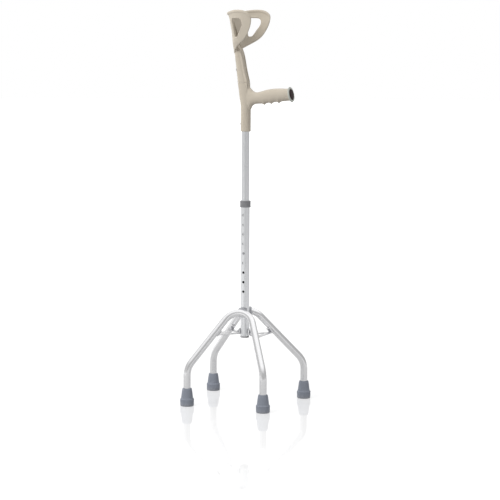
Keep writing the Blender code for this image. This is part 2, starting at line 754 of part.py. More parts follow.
def rivet_place(side, end):
    """A brace rivet's place on the leg's axis, and the way out under the leg."""
    place, up, under, _ = leg_frame(side, end)
    return place + up * TAB_RIVET - under * (LEG_TUBE_R + GAP + BRACE_THICK / 2), under


def leg_drill(name, side, end):
    """A drill for a brace's rivet, from inside the leg out through the tab."""
    place, under = rivet_place(side, end)
    return rod(name, place + under * LEG_TUBE_R / 2, place + under * LEG_TUBE_R * 2, RIVET_R + GAP, sides=8)


def make_arches():
    for side in ("right", "left"):
        arch = swept(f"{side}_arch", arch_route(side), LEG_TUBE_R, "leg_tube", sides=14, wall=LEG_WALL)
        for end in ("rear", "front"):
            cut(arch, leg_drill(f"{side}_{end}_rivet_hole", side, end))


def make_saddles():
    low, high = SADDLE_Z
    for side, sign in (("right", -1), ("left", 1)):
        near, far = sorted((sign * SADDLE_START, sign * (CROWN_Y[side] - SADDLE_WRAP)))
        half = SADDLE_HALF_X
        saddle = block(f"{side}_saddle", (-half, near, low), (half, far, high), "bright_steel")
        edge = saddle.modifiers.new("edges", "BEVEL")
        edge.width = SADDLE_EDGE
        edge.segments = 1
        cut(saddle, pole_cutter(f"{side}_saddle_bore", low - 0.01, high + 0.01),
            swept(f"{side}_saddle_seat", arch_route(side), LEG_TUBE_R + GAP, sides=14),
            rod(f"{side}_saddle_hole", (0, 0, HUB_PIN_Z), (0, sign * FOOT_Y, HUB_PIN_Z), HUB_PIN_R + GAP,
                sides=10))


def make_hub_pin():
    right, left = (CROWN_Y[side] - LEG_TUBE_R - 2 * GAP for side in ("right", "left"))
    rod("hub_pin", (0, -right, HUB_PIN_Z), (0, left, HUB_PIN_Z), HUB_PIN_R, "bright_steel", sides=12)


def brace_corners(end):
    """The corners of the strip's middle line: right leg, left leg and pole, anticlockwise."""
    corners = []
    for side in ("right", "left"):
        place, up, _, _ = leg_frame(side, end)
        corners.append((place + Vector((up.x, up.y, 0)).normalized() * (BRACE_WIDTH / 2 - 0.001)).xy)
    sign = 1 if end == "front" else -1
    corners.append(Vector((sign * (LOWER_TUBE_R + GAP + BRACE_THICK + 0.002), 0)))
    return corners if end == "front" else corners[::-1]


def make_braces():
    """Flat loops with a tab bent up under each leg and one against the pole."""
    low = BRACE_Z - BRACE_THICK / 2
    for end, sign in (("front", 1), ("rear", -1)):
        corners = brace_corners(end)
        window = rounded_polygon(inset(corners, BRACE_WIDTH / 2), BRACE_WINDOW_R)
        rim = rounded_polygon(inset(corners, -BRACE_WIDTH / 2), BRACE_CORNER_R)
        brace = flat(f"{end}_brace", [rim, window], BRACE_THICK, BRACE_Z, "leg_tube")
        face = LOWER_TUBE_R + GAP
        near, far = sorted((sign * face, sign * (face + BRACE_THICK)))
        half = TAB_WIDTH / 2
        join(brace, block(f"{end}_pole_tab", (near, -half, low), (far, half, POLE_TAB_TOP_Z)))
        for side in ("right", "left"):
            place, up, under, across = leg_frame(side, end)
            tab = block(f"{side}_{end}_tab", (-half, -BRACE_THICK / 2, -TAB_ROOT),
                        (half, BRACE_THICK / 2, TAB_LENGTH))
            turn = Matrix((across, up.cross(across), up)).transposed().to_4x4()
            tab.matrix_basis = Matrix.Translation(place) @ turn @ tab.matrix_basis
            join(brace, tab)
        for side in ("right", "left"):
            cut(brace, swept(f"{side}_{end}_clear", arch_route(side), LEG_TUBE_R + GAP, sides=14),
                leg_drill(f"{side}_{end}_tab_hole", side, end))
        cut(brace, pole_cutter(f"{end}_brace_clear", LOWER_TUBE_Z[0], SADDLE_Z[0]),
            rod(f"{end}_bolt_clear", (sign * face / 2, 0, BRACE_BOLT_Z), (sign * face * 2, 0, BRACE_BOLT_Z),
                BOLT_R + GAP, sides=10))


BOLT_HEAD_R = 0.0042
BOLT_TAIL = 0.0055                # from the rear brace through the nut
NUT_R = 0.0044
NUT_THICK = 0.0036


def make_brace_fixings():
    for side in ("right", "left"):
        for end in ("rear", "front"):
            place, under = rivet_place(side, end)
            profile = rivet_profile(LEG_TUBE_R + 2 * GAP + BRACE_THICK, LEG_TUBE_R - LEG_WALL - 0.001)
            rivet = turned(f"brace_rivet_{end}_{side}", profile, "bright_steel", steps=10, closed=False)
            aim(rivet, place, under)
    seat = LOWER_TUBE_R + 2 * GAP + BRACE_THICK
    tail = seat + BOLT_TAIL
    profile = [(0, seat + 0.0030), (0.0024, seat + 0.0027), (0.0040, seat + 0.0012), (BOLT_HEAD_R, seat),
               (BOLT_R, seat), (BOLT_R, -tail), (0, -tail)]
    aim(turned("brace_bolt", profile, "bright_steel", steps=12, closed=False), (0, 0, BRACE_BOLT_Z), (1, 0, 0))
    inner, outer = Vector((-seat, 0, BRACE_BOLT_Z)), Vector((-seat - NUT_THICK, 0, BRACE_BOLT_Z))
    nut = rod("brace_nut", outer, inner, NUT_R, "bright_steel", sides=6)
    cut(nut, rod("nut_thread", outer * 2 - inner, inner * 2 - outer, BOLT_R + GAP, sides=12))


def make_feet():
    bore = LEG_TUBE_R + GAP
    outside = list(reversed(TIP_OUTSIDE))
    under = []
    for r in sorted(TIP_GROOVES, reverse=True):
        edge, floor = GROOVE_HALF, GROOVE_HALF * 0.6
        under += [(r + edge, 0), (r + floor, GROOVE_DEPTH), (r - floor, GROOVE_DEPTH), (r - edge, 0)]
    # the ring is open on top, so its profile starts in the bore and ends on the axis
    profile = [(0, TIP_BORE_Z), (bore, TIP_BORE_Z), (bore, TIP_HEIGHT), *outside, *under, (0, 0)]
    low, high = TIP_BORE_Z + GAP, LEG_END_Z - GAP
    washer = [(bore - GAP, high), (bore - GAP, low), (WASHER_BORE_R, low), (WASHER_BORE_R, high)]
    for side in ("right", "left"):
        foot_rear, _, _, _, foot_front = leg_corners(side)
        for end, place in (("rear", foot_rear), ("front", foot_front)):
            tip = turned(f"foot_tip_{end}_{side}", profile, "tip_rubber", steps=16, closed=False)
            ring = turned(f"tip_washer_{end}_{side}", washer, "bright_steel", steps=12)
            for piece in (tip, ring):
                piece.location = (place.x, place.y, 0)


make_lower_tube()
make_collar()
make_end_plug()
make_upper_tube()
make_end_bush()
make_button()
make_clip()
make_handle()
make_grip_end()
make_cuff()
make_back_rivets()
make_arches()
make_saddles()
make_hub_pin()
make_braces()
make_brace_fixings()
make_feet()
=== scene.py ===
# %% [markdown]
# # Dressing a quad crutch
#
# The crutch has an open plastic cuff for the forearm, a moulded grip, a pole of two tubes with a snap
# button, and a splayed base of bent tubes on rubber tips. Its CAD model comes in as a fixed frame, with
# one mesh for each node. This script builds what the eye sees round that frame: smooth tubes, soft
# mouldings and finishes with grain and wear. Lengths are in metres, +Z is up, +X is the way the grip
# points and +Y is the user's left.

# %% Open the frame
import json
from math import acos, copysign, cos, degrees, pi, radians, sin, tan

import bmesh
import bpy
from mathutils import Matrix, Vector


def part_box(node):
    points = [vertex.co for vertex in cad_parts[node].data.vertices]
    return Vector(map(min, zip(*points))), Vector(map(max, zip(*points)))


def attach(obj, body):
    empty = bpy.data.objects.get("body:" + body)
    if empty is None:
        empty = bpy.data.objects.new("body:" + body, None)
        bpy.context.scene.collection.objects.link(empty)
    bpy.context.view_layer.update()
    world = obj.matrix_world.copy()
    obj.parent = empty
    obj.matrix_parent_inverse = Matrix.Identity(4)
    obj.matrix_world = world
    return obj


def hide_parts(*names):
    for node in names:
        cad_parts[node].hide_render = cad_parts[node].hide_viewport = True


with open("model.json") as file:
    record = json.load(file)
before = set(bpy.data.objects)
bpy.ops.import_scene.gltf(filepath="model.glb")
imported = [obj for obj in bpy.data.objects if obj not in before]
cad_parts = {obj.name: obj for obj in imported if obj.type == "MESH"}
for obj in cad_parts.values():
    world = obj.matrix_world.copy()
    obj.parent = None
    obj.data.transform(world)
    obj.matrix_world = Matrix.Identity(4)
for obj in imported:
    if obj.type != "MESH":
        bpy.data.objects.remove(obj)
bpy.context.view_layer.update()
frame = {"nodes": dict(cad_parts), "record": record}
record = frame["record"]
body_of = {node: body for body, nodes in record["behaviour"]["bodies"].items() for node in nodes}
slot_of = {part["node"]: part["material_slot"] for part in record["subparts"]}

# %% [markdown]
# ## Driving sizes
#
# Where a node's box tells a size or a place, it is read from the frame. The rest is written here or with
# its piece, such as wall thickness and the bend of a tube. The pole's axis is the line that the other
# places are measured from.

# %% Sizes from the frame
GAP = 0.0003
TUBE_WALL = 0.0012
UPPER_R = 0.0095
LEAN = radians(8)
LEAN_CORNER_Z = 0.738
LEAN_BEND_R = 0.150
UP = Vector((0, 0, 1))
pole_low, pole_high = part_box("lower_tube")
POLE = Vector(((pole_low.x + pole_high.x) / 2, 0, 0))
LOWER_R = (pole_high.y - pole_low.y) / 2


def from_pole(x, y, z):
    """A place measured from the pole's axis and up from the floor."""
    return POLE + Vector((x, y, z))


def standing(at, axis):
    """The transform that stands a piece made along +Z at a place, along an axis."""
    return Matrix.Translation(at) @ Vector(axis).to_track_quat("Z", "Y").to_matrix().to_4x4()


print(f"pole axis at x = {POLE.x * 1000:.1f} mm, lower tube {LOWER_R * 2000:.1f} mm across")

# %% [markdown]
# ## Working on one piece
#
# An operator acts on everything that is selected, so each new piece starts with nothing selected. These
# helpers add a primitive, pick faces or edges by their place, and apply a modifier, which is what the
# mouse does in the viewport.

# %% Selecting
def only(obj):
    """Select one object and nothing else."""
    bpy.ops.object.select_all(action="DESELECT")
    obj.select_set(True)
    bpy.context.view_layer.objects.active = obj
    return obj


def named(name):
    """Name the active object and its mesh."""
    obj = bpy.context.active_object
    obj.name = name
    obj.data.name = name
    return obj


def begin(name, primitive, **options):
    """Add a primitive by itself, under a name."""
    bpy.ops.object.select_all(action="DESELECT")
    primitive(**options)
    return named(name)


def twin(obj, name):
    """A copy of a piece, with its own mesh."""
    only(obj)
    bpy.ops.object.duplicate()
    return named(name)


def pick(obj, kind, test):
    """Enter edit mode with just the faces, edges or vertices selected that pass the test."""
    only(obj)
    bpy.ops.object.mode_set(mode="EDIT")
    bpy.ops.mesh.select_mode(type=kind)
    bpy.ops.mesh.select_all(action="DESELECT")
    mesh = bmesh.from_edit_mesh(obj.data)
    parts = {"VERT": mesh.verts, "EDGE": mesh.edges, "FACE": mesh.faces}[kind]
    for part in parts:
        part.select_set(bool(test(part)))
    mesh.select_flush_mode()
    bmesh.update_edit_mesh(obj.data)


def everything(part):
    return True


def leave():
    bpy.ops.object.mode_set(mode="OBJECT")


def middle(part):
    """The middle of an edge or a face."""
    return sum((vert.co for vert in part.verts), Vector()) / len(part.verts)


# %% Modifiers and clean-up
SAME_PLACE = 0.000002


def apply(obj, kind, **settings):
    """Add a modifier, set it and apply it."""
    only(obj)
    modifier = obj.modifiers.new(kind.lower(), kind)
    for key, value in settings.items():
        setattr(modifier, key, value)
    bpy.ops.object.modifier_apply(modifier=modifier.name)
    return obj


def soften(obj, width, segments=3, angle=30):
    """Round every edge that is sharper than the angle."""
    return apply(obj, "BEVEL", width=width, segments=segments, limit_method="ANGLE",
                 angle_limit=radians(angle), use_clamp_overlap=True)


def shade(obj, angle=35):
    only(obj)
    bpy.ops.object.shade_smooth_by_angle(angle=radians(angle))
    return obj


def settle(obj):
    """Put the object's place and turn into its mesh."""
    only(obj)
    bpy.ops.object.transform_apply(location=True, rotation=True, scale=True)
    return obj


def close_up(obj):
    """Merge doubles, drop stray edges and turn all faces outwards."""
    pick(obj, "VERT", everything)
    bpy.ops.mesh.remove_doubles(threshold=SAME_PLACE)
    bpy.ops.mesh.delete_loose(use_verts=True, use_edges=True, use_faces=False)
    bpy.ops.mesh.select_all(action="SELECT")
    bpy.ops.mesh.normals_make_consistent(inside=False)
    leave()
    return obj


def cut(obj, *cutters, operation="DIFFERENCE"):
    """Cut the cutters out of a piece, or join them to it, and throw them away."""
    for cutter in cutters:
        apply(obj, "BOOLEAN", operation=operation, object=cutter, solver="EXACT")
        bpy.data.objects.remove(cutter)
    return obj


# %% [markdown]
# ## Values and nodes
#
# A material is a small program. Writing it as Python expressions keeps it readable: a Value wraps a
# socket, and arithmetic on Values adds the Math nodes. Every other node comes from one method. Patterns
# read Object coordinates, so that they keep their real size and stay put when the piece moves.

# %% A socket that does arithmetic
class Value:
    """A number that changes over a surface."""

    def __init__(self, tree, socket):
        self.tree = tree
        self.socket = socket

    def math(self, operation, *terms, clamp=False):
        node = self.tree.nodes.new("ShaderNodeMath")
        node.operation = operation
        node.use_clamp = clamp
        for slot, term in zip(node.inputs, terms):
            connect(slot, term)
        return Value(self.tree, node.outputs[0])

    def __add__(self, other):
        return self.math("ADD", self, other)

    def __sub__(self, other):
        return self.math("SUBTRACT", self, other)

    def __rsub__(self, other):
        return self.math("SUBTRACT", other, self)

    def __mul__(self, other):
        return self.math("MULTIPLY", self, other)

    def __truediv__(self, other):
        return self.math("DIVIDE", self, other)

    def __pow__(self, other):
        return self.math("POWER", self, other)

    def __abs__(self):
        return self.math("ABSOLUTE", self)

    __radd__ = __add__
    __rmul__ = __mul__

    def clamped(self):
        return self.math("ADD", self, 0, clamp=True)


def connect(socket, value):
    """Link a Value to a socket, or set the socket's own number."""
    if isinstance(value, Value):
        value.tree.links.new(value.socket, socket)
    else:
        socket.default_value = value


def rgba(colour):
    """A colour as a socket takes it. A Value is passed on as it is."""
    return colour if isinstance(colour, Value) else (*colour, 1)


def duller(colour, share):
    return tuple(share * level for level in colour)


# %% Adding nodes
class Nodes:
    """A node tree, with one method that adds any node."""

    def __init__(self, tree):
        self.tree = tree

    def add(self, kind, settings=None, inputs=None, output=0):
        node = self.tree.nodes.new("ShaderNode" + kind)
        settings = dict(settings or {})
        stops = settings.pop("stops", None)
        for name, value in settings.items():
            setattr(node, name, value)
        if stops:
            fill_ramp(node.color_ramp, stops)
        for name, value in (inputs or {}).items():
            connect(node.inputs[name], value)
        return Value(self.tree, node.outputs[output])

    def ray(self, kind):
        """1 for one kind of ray, such as Camera, and 0 for every other."""
        return self.add("LightPath", output=f"Is {kind} Ray")

    def part(self, vector, axis):
        """One coordinate of a vector: 0 for X, 1 for Y and 2 for Z."""
        return self.add("SeparateXYZ", None, {"Vector": vector}, output=axis)

    def ramp(self, value, stops):
        """Turn a value into a level by stops of (place, level)."""
        return self.add("ValToRGB", {"stops": stops}, {"Fac": value})

    def mix(self, share, first, second):
        """A colour between two colours."""
        return self.add("Mix", {"data_type": "RGBA"}, {0: share, 6: rgba(first), 7: rgba(second)}, output=2)

    def noise(self, place, scale, detail=3.0, roughness=0.5):
        sockets = {"Vector": place, "Scale": scale, "Detail": detail, "Roughness": roughness}
        return self.add("TexNoise", None, sockets)

    def stretched(self, place, scale):
        """Coordinates scaled along each axis, which draws a pattern out along the small ones."""
        return self.add("Mapping", None, {"Vector": place, "Scale": scale})


def fill_ramp(ramp, stops):
    """Give a colour ramp its stops."""
    while len(ramp.elements) < len(stops):
        ramp.elements.new(0.5)
    for element, (place, level) in zip(ramp.elements, stops):
        element.position = place
        element.color = (level, level, level, 1)


# %% A finish
class Finish(Nodes):
    """A material: a Principled shader and the nodes that feed it."""

    def __init__(self, name, metallic=0.0, specular=0.5):
        self.material = bpy.data.materials.new(name)
        self.material.use_nodes = True
        super().__init__(self.material.node_tree)
        self.shader = self.tree.nodes["Principled BSDF"]
        self.place = self.add("TexCoord", output="Object")
        self.feed("Metallic", metallic)
        self.feed("Specular IOR Level", specular)

    def feed(self, name, value):
        connect(self.shader.inputs[name], value)

    def done(self, colour, roughness, relief, depth, strength):
        """Feed the shader. The relief is a height of 0 to 1, and its depth is in metres."""
        self.feed("Base Color", colour)
        self.feed("Roughness", roughness)
        sockets = {"Height": relief, "Distance": depth, "Strength": strength}
        self.feed("Normal", self.add("Bump", None, sockets))
        return self.material


finishes = {}

# %% [markdown]
# ## Beige plastic
#
# The cuff and the handle are injection mouldings in a warm grey beige. The mould was spark eroded, so
# the skin has a fine even grain that softens the light, and hands polish it slightly in patches. The
# mould's halves met on the crutch's middle plane and left a hairline there, which is drawn by the
# distance from that plane.

# %% Beige plastic
BEIGE = (0.570, 0.512, 0.425)
BEIGE_DULL = (0.515, 0.458, 0.372)
SEAM_SPAN = 0.0004


def beige_plastic():
    finish = Finish("beige_moulding", specular=0.45)
    cloud = finish.noise(finish.place, 14, detail=4, roughness=0.6)
    speck = finish.noise(finish.place, 900, detail=2)
    worn = finish.ramp(cloud, [(0.35, 0.0), (0.70, 1.0)])
    grain = finish.noise(finish.place, 2600, detail=3, roughness=0.65)
    seam = finish.ramp(abs(finish.part(finish.place, 1)) / SEAM_SPAN, [(0.25, 1.0), (0.75, 0.0)])
    return finish.done(finish.mix(worn * 0.45 + speck * 0.12, BEIGE, BEIGE_DULL),
                       roughness=0.40 + worn * 0.10 + speck * 0.06,
                       relief=grain * 0.35 + seam, depth=0.00018, strength=0.55)


finishes["beige_plastic"] = beige_plastic()
print("beige plastic:", len(finishes["beige_plastic"].node_tree.nodes), "nodes")

# %% [markdown]
# ## Aluminium tubes
#
# The pole's tubes are anodised: a clear hard skin over drawn aluminium, with faint streaks along the
# tube from the die. Noise stretched a hundredfold along Z draws them. The legs are bent after drawing
# and then buffed, so they are brighter and their marks run every way.

# %% Anodised and buffed aluminium
ALUMINIUM = (0.80, 0.81, 0.825)
BUFFED = (0.89, 0.89, 0.90)
# painted shade: the near black given to the inside of the drilled lower tube and its holes' walls
BORE_SHADE = (0.030, 0.030, 0.032)
STREAK_SCALE = (900, 900, 7)
SCRATCH_SCALE = (1500, 260, 120)


def anodised_tube(name, bore=0.0):
    """Anodised outside. Within the bore's radius of the pole's axis the colour is painted near black as
    shade, inside the tube and on the walls of its holes, and the metal is dull there.
    """
    finish = Finish(name, metallic=1.0)
    streak = finish.noise(finish.stretched(finish.place, STREAK_SCALE), 1.0, detail=4, roughness=0.7)
    cloud = finish.noise(finish.place, 22)
    colour = finish.mix(streak * 0.7 + cloud * 0.3, ALUMINIUM, duller(ALUMINIUM, 0.93))
    rough = 0.21 + streak * 0.10 + cloud * 0.05
    if bore:
        x = finish.part(finish.place, 0) - POLE.x
        y = finish.part(finish.place, 1)
        # painted shade: within the bore the colour turns near black, so the holes look shaded
        inside = finish.ramp(((x * x + y * y) ** 0.5) / bore, [(0.975, 1.0), (0.995, 0.0)])
        colour = finish.mix(inside, colour, BORE_SHADE)
        rough = rough + inside * 0.4
    return finish.done(colour, rough, relief=streak, depth=0.00002, strength=0.5)


def leg_tube():
    finish = Finish("buffed_aluminium", metallic=1.0)
    haze = finish.noise(finish.place, 45, detail=5, roughness=0.6)
    scratch = finish.noise(finish.stretched(finish.place, SCRATCH_SCALE), 1.0)
    return finish.done(finish.mix(haze, BUFFED, duller(BUFFED, 0.94)),
                       roughness=0.17 + haze * 0.08 + scratch * 0.05,
                       relief=scratch * 0.5 + haze * 0.5, depth=0.00002, strength=0.4)


finishes["anodised_tube"] = anodised_tube("anodised_aluminium")
drilled_tube = anodised_tube("anodised_drilled_aluminium", bore=LOWER_R)
finishes["leg_tube"] = leg_tube()
print("anodised tube:", len(drilled_tube.node_tree.nodes), "nodes")

# %% [markdown]
# ## Steel, rubber and the small mouldings
#
# Rivets and brackets are zinc plated, with a cloudy crystal look. The tips are filled rubber: dull, blue
# grey and dusted paler where they stand. The collar, the plug and the grip's end are small mouldings
# with a finer grain than the handle's.

# %% Plated steel and rubber
STEEL = (0.56, 0.57, 0.60)
RUBBER = (0.245, 0.268, 0.318)
DUST = (0.370, 0.375, 0.405)
DUST_SPAN = 0.025


def bright_steel():
    finish = Finish("zinc_plated_steel", metallic=1.0)
    crystal = finish.add("TexVoronoi", None, {"Vector": finish.place, "Scale": 420})
    cloud = finish.noise(finish.place, 260)
    return finish.done(finish.mix(crystal * 0.6 + cloud * 0.4, STEEL, duller(STEEL, 0.72)),
                       roughness=0.24 + crystal * 0.12 + cloud * 0.08,
                       relief=cloud, depth=0.00003, strength=0.4)


def tip_rubber():
    finish = Finish("blue_grey_rubber", specular=0.35)
    cloud = finish.noise(finish.place, 110, detail=4, roughness=0.65)
    speck = finish.noise(finish.place, 1500, detail=2)
    low = finish.ramp(finish.part(finish.place, 2) / DUST_SPAN, [(0.02, 1.0), (0.45, 0.0)])
    dusty = (low * cloud * 1.1 + speck * 0.18).clamped()
    return finish.done(finish.mix(dusty, RUBBER, DUST),
                       roughness=0.62 + cloud * 0.18 + dusty * 0.12,
                       relief=speck * 0.5 + cloud * 0.5, depth=0.00012, strength=0.45)


finishes["bright_steel"] = bright_steel()
finishes["tip_rubber"] = tip_rubber()
print(f"dust on the lowest {DUST_SPAN * 450:.0f} mm of the tips")

# %% Small mouldings
GREY = (0.245, 0.245, 0.255)
PALE = (0.56, 0.58, 0.53)
MAROON = (0.024, 0.007, 0.009)
WHITE = (0.70, 0.70, 0.68)
PLUG_GREY = (0.50, 0.50, 0.51)


def small_moulding(name, colour, roughness, grain_depth, specular=0.5):
    finish = Finish(name, specular=specular)
    cloud = finish.noise(finish.place, 60, detail=4)
    grain = finish.noise(finish.place, 3000, detail=2)
    return finish.done(finish.mix(cloud * 0.7 + grain * 0.3, colour, duller(colour, 0.86)),
                       roughness + cloud * 0.10, relief=grain, depth=grain_depth, strength=0.4)


finishes["grey_plastic"] = small_moulding("grey_moulding", GREY, 0.42, 0.00010)
finishes["cap_plastic"] = small_moulding("pale_moulding", PALE, 0.32, 0.00006)
finishes["disc_plastic"] = small_moulding("maroon_disc", MAROON, 0.40, 0.00002, specular=0.15)
finishes["white_plastic"] = small_moulding("white_moulding", WHITE, 0.40, 0.00006)
plug_plastic = small_moulding("plug_moulding", PLUG_GREY, 0.42, 0.00010)
print("finishes:", ", ".join(sorted(finishes)))

# %% [markdown]
# ## Putting a piece in place of its node
#
# Each piece takes its finish and its moving body from the node it stands for, so the slot and the body
# never have to be typed twice.

# %% Dressing a node
def dress(obj, node, finish=None):
    """Finish a piece like its node, move it with the node's body, and show it instead."""
    slot = slot_of[node]
    obj.data.materials.clear()
    obj.data.materials.append(finish or finishes[slot])
    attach(obj, body_of[node])
    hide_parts(node)
    print(f"{obj.name}: {len(obj.data.polygons)} faces on {body_of[node]}")
    return obj


for name, node in frame["nodes"].items():
    for k in range(len(node.data.materials)):
        node.data.materials[k] = finishes[slot_of[name]]

# %% [markdown]
# ## Turned pieces
#
# Collars, plugs, tips, rivet heads and caps are round. Their outline is laid along a loop of points and
# spun about the axis. That beats stacking cylinders, because one closed outline gives the steps, the
# undercuts and the bore together.

# %% Spinning an outline
def turned(name, outline, at=(0, 0, 0), axis=(0, 0, 1), steps=96):
    """Spin a closed outline of (radius, height) points, then stand it at a place along an axis."""
    obj = begin(name, bpy.ops.mesh.primitive_circle_add, vertices=len(outline), radius=0.01)
    for vert, (radius, height) in zip(obj.data.vertices, outline):
        vert.co = (radius, 0, height)
    pick(obj, "VERT", everything)
    bpy.ops.mesh.spin(steps=steps, angle=2 * pi, center=(0, 0, 0), axis=(0, 0, 1))
    leave()
    close_up(obj)
    obj.matrix_world = standing(at, axis)
    return settle(obj)


def placed(pattern, name, at, axis=(0, 0, 1)):
    """A copy of a piece made at the origin, with its own mesh, stood at a place along an axis."""
    copy = twin(pattern, name)
    copy.matrix_world = standing(at, axis)
    return settle(copy)


def rod(name, start, end, radius, sides=48):
    """A plain bar between two points, used as a cutter."""
    start, end = Vector(start), Vector(end)
    bar = begin(name, bpy.ops.mesh.primitive_cylinder_add, vertices=sides, radius=radius,
                depth=(end - start).length)
    bar.matrix_world = standing((start + end) / 2, end - start)
    return settle(bar)


# %% [markdown]
# ## Lower tube
#
# A drawn tube with a row of nine drilled holes, which the snap button finds as the pole is lengthened.
# The holes are real: they are cut through the near wall only, and every drilled edge gets a small
# rounded break, so that it catches light.

# %% Lower tube
HOLE_TOP_Z = 0.472
HOLE_PITCH = 0.024
HOLE_COUNT = 9
HOLE_R = 0.0030
HUB_PIN_Z = 0.2279
HUB_PIN_R = 0.0025
BRACE_BOLT_Z = 0.1785
# how far from the pole's axis a drill for the button's holes starts, and where every drill ends
DRILL_START = 0.005
DRILL_END = 0.014


def lower_tube():
    low, high = pole_low.z, pole_high.z
    inner = LOWER_R - TUBE_WALL
    outline = [(LOWER_R, low), (LOWER_R, high), (inner, high), (inner, low)]
    drawn = turned("lower_tube_drawn", outline, POLE, steps=128)
    drills = []
    for z, way in ((HUB_PIN_Z, Vector((0, DRILL_END, 0))), (BRACE_BOLT_Z, Vector((DRILL_END, 0, 0)))):
        drills.append(rod("drill", POLE + UP * z - way, POLE + UP * z + way, HUB_PIN_R + GAP, 32))
    pattern = rod("drill", (0, 0, DRILL_START), (0, 0, DRILL_END), HOLE_R, 40)
    for k in range(HOLE_COUNT):
        drills.append(placed(pattern, "drill", POLE + UP * (HOLE_TOP_Z - k * HOLE_PITCH), (0, -1, 0)))
    bpy.data.objects.remove(pattern)
    cut(drawn, *drills)
    return shade(soften(drawn, 0.00015, segments=2, angle=40))


dress(lower_tube(), "lower_tube", drilled_tube)

# %% [markdown]
# ## Collar and end plug
#
# The collar is a push-on bush that guides the upper tube. It has soft edges, a step under its rim and a
# bore in two sizes. The plug closes the pole's lower end.

# %% Collar and end plug
COLLAR_R = 0.0135
COLLAR_WAIST_R = COLLAR_R - 0.0003


def collar():
    low, high = (corner.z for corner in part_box("tube_collar"))
    shoulder = pole_high.z + GAP
    outline = [(UPPER_R + GAP, high), (COLLAR_R - 0.0004, high), (COLLAR_R, high - 0.0004),
               (COLLAR_R, high - 0.0030), (COLLAR_WAIST_R, high - 0.0034), (COLLAR_WAIST_R, low + 0.0030),
               (COLLAR_R, low + 0.0026), (COLLAR_R, low), (LOWER_R + GAP, low), (LOWER_R + GAP, shoulder),
               (UPPER_R + GAP, shoulder)]
    return shade(soften(turned("collar_bush", outline, POLE), 0.0007, angle=50))


def end_plug():
    low, high = (corner.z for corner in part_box("pole_end_plug"))
    stem = LOWER_R - TUBE_WALL - GAP
    seat = pole_low.z - GAP
    outline = [(0, high), (stem - 0.001, high), (stem, high - 0.001), (stem, seat), (LOWER_R, seat),
               (LOWER_R, low + 0.0008), (LOWER_R - 0.0008, low), (LOWER_R * 0.62, low),
               (LOWER_R * 0.56, low + 0.0009), (0, low + 0.0009)]
    return shade(soften(turned("end_plug", outline, POLE), 0.0003, segments=2))


dress(collar(), "tube_collar")
dress(end_plug(), "pole_end_plug", plug_plastic)

# %% [markdown]
# ## Bent tubes
#
# A tube bender leaves straight runs joined by arcs. The route is those runs with each corner rounded to
# its radius, and a curve with a round bevel follows it. Solidify gives the wall.

# %% Routes and tubes
def rounded(corners, radii, step=radians(3)):
    """Points along straight runs whose corners are arcs of the given radii."""
    corners = [Vector(corner) for corner in corners]
    points = [corners[0]]
    for before, corner, after, radius in zip(corners, corners[1:], corners[2:], radii):
        back = (before - corner).normalized()
        ahead = (after - corner).normalized()
        half = acos(max(-1, min(1, back.dot(ahead)))) / 2
        centre = corner + (back + ahead).normalized() * radius / sin(half)
        first = corner + back * radius / tan(half)
        sweep = pi - 2 * half
        count = max(1, round(sweep / step))
        axis = back.cross(first - centre).normalized()
        points += [centre + Matrix.Rotation(sweep * k / count, 3, axis) @ (first - centre)
                   for k in range(count + 1)]
    return points + [corners[-1]]


def tube(name, route, radius, wall=0.0, sides=48):
    """A round bar along a route, or a tube where it has a wall."""
    bpy.ops.object.select_all(action="DESELECT")
    bpy.ops.curve.primitive_bezier_curve_add()
    curve = bpy.context.active_object.data
    curve.splines.clear()
    spline = curve.splines.new("POLY")
    spline.points.add(len(route) - 1)
    for point, place in zip(spline.points, route):
        point.co = (*place, 1)
    curve.bevel_depth = radius
    curve.bevel_resolution = (sides - 4) // 2
    curve.use_fill_caps = not wall
    bpy.ops.object.convert(target="MESH")
    obj = close_up(named(name))
    if wall:
        apply(obj, "SOLIDIFY", thickness=wall, offset=-1, use_even_offset=True)
    return obj


# %% [markdown]
# ## Upper tube and its button
#
# The upper tube slides in the lower one, leans back behind the forearm above the handle, and carries a
# spring clip with a domed button. The dome stands out through a hole in both tubes.

# %% Upper tube
UPPER_Z = (0.340, 0.866)
BUTTON_Z = HOLE_TOP_Z - 4 * HOLE_PITCH
HANDLE_RIVET_Z = 0.698
CUFF_RIVET_Z = 0.832
RIVET_R = 0.0020
RIVET_DRILL = (0.004, 0.022)
BUTTON_DRILL = (0.004, 0.013)


def lean_x(z):
    """How far back the leaning tube's axis is at a height."""
    return -max(0, z - LEAN_CORNER_Z) * tan(LEAN)


def upper_route(low, high):
    corners = [POLE + UP * low, POLE + UP * LEAN_CORNER_Z, from_pole(lean_x(high), 0, high)]
    return rounded(corners, [LEAN_BEND_R], step=radians(1))


def rear_wall(z):
    """The upper tube's axis at a height, and the way out through its rear wall."""
    lean = LEAN if z > LEAN_CORNER_Z else 0
    return from_pole(lean_x(z), 0, z), Vector((-cos(lean), 0, -sin(lean)))


def rivet_drill(z):
    """A drill from inside the upper tube out through its rear wall and the moulding."""
    start, end = RIVET_DRILL
    place, out = rear_wall(z)
    return rod("drill", place + out * start, place + out * end, RIVET_R + GAP, 32)


def upper_tube():
    bent = tube("upper_tube_bent", upper_route(*UPPER_Z), UPPER_R, TUBE_WALL, 64)
    inside, outside = (from_pole(0, -reach, BUTTON_Z) for reach in BUTTON_DRILL)
    hole = rod("drill", outside, inside, HOLE_R, 40)
    cut(bent, hole, rivet_drill(HANDLE_RIVET_Z), rivet_drill(CUFF_RIVET_Z))
    return shade(bent)


dress(upper_tube(), "upper_tube")

# %% Snap button
BUTTON_R = 0.0026
BUTTON_TIP_Y = 0.0142
BUTTON_DOME = 0.0016


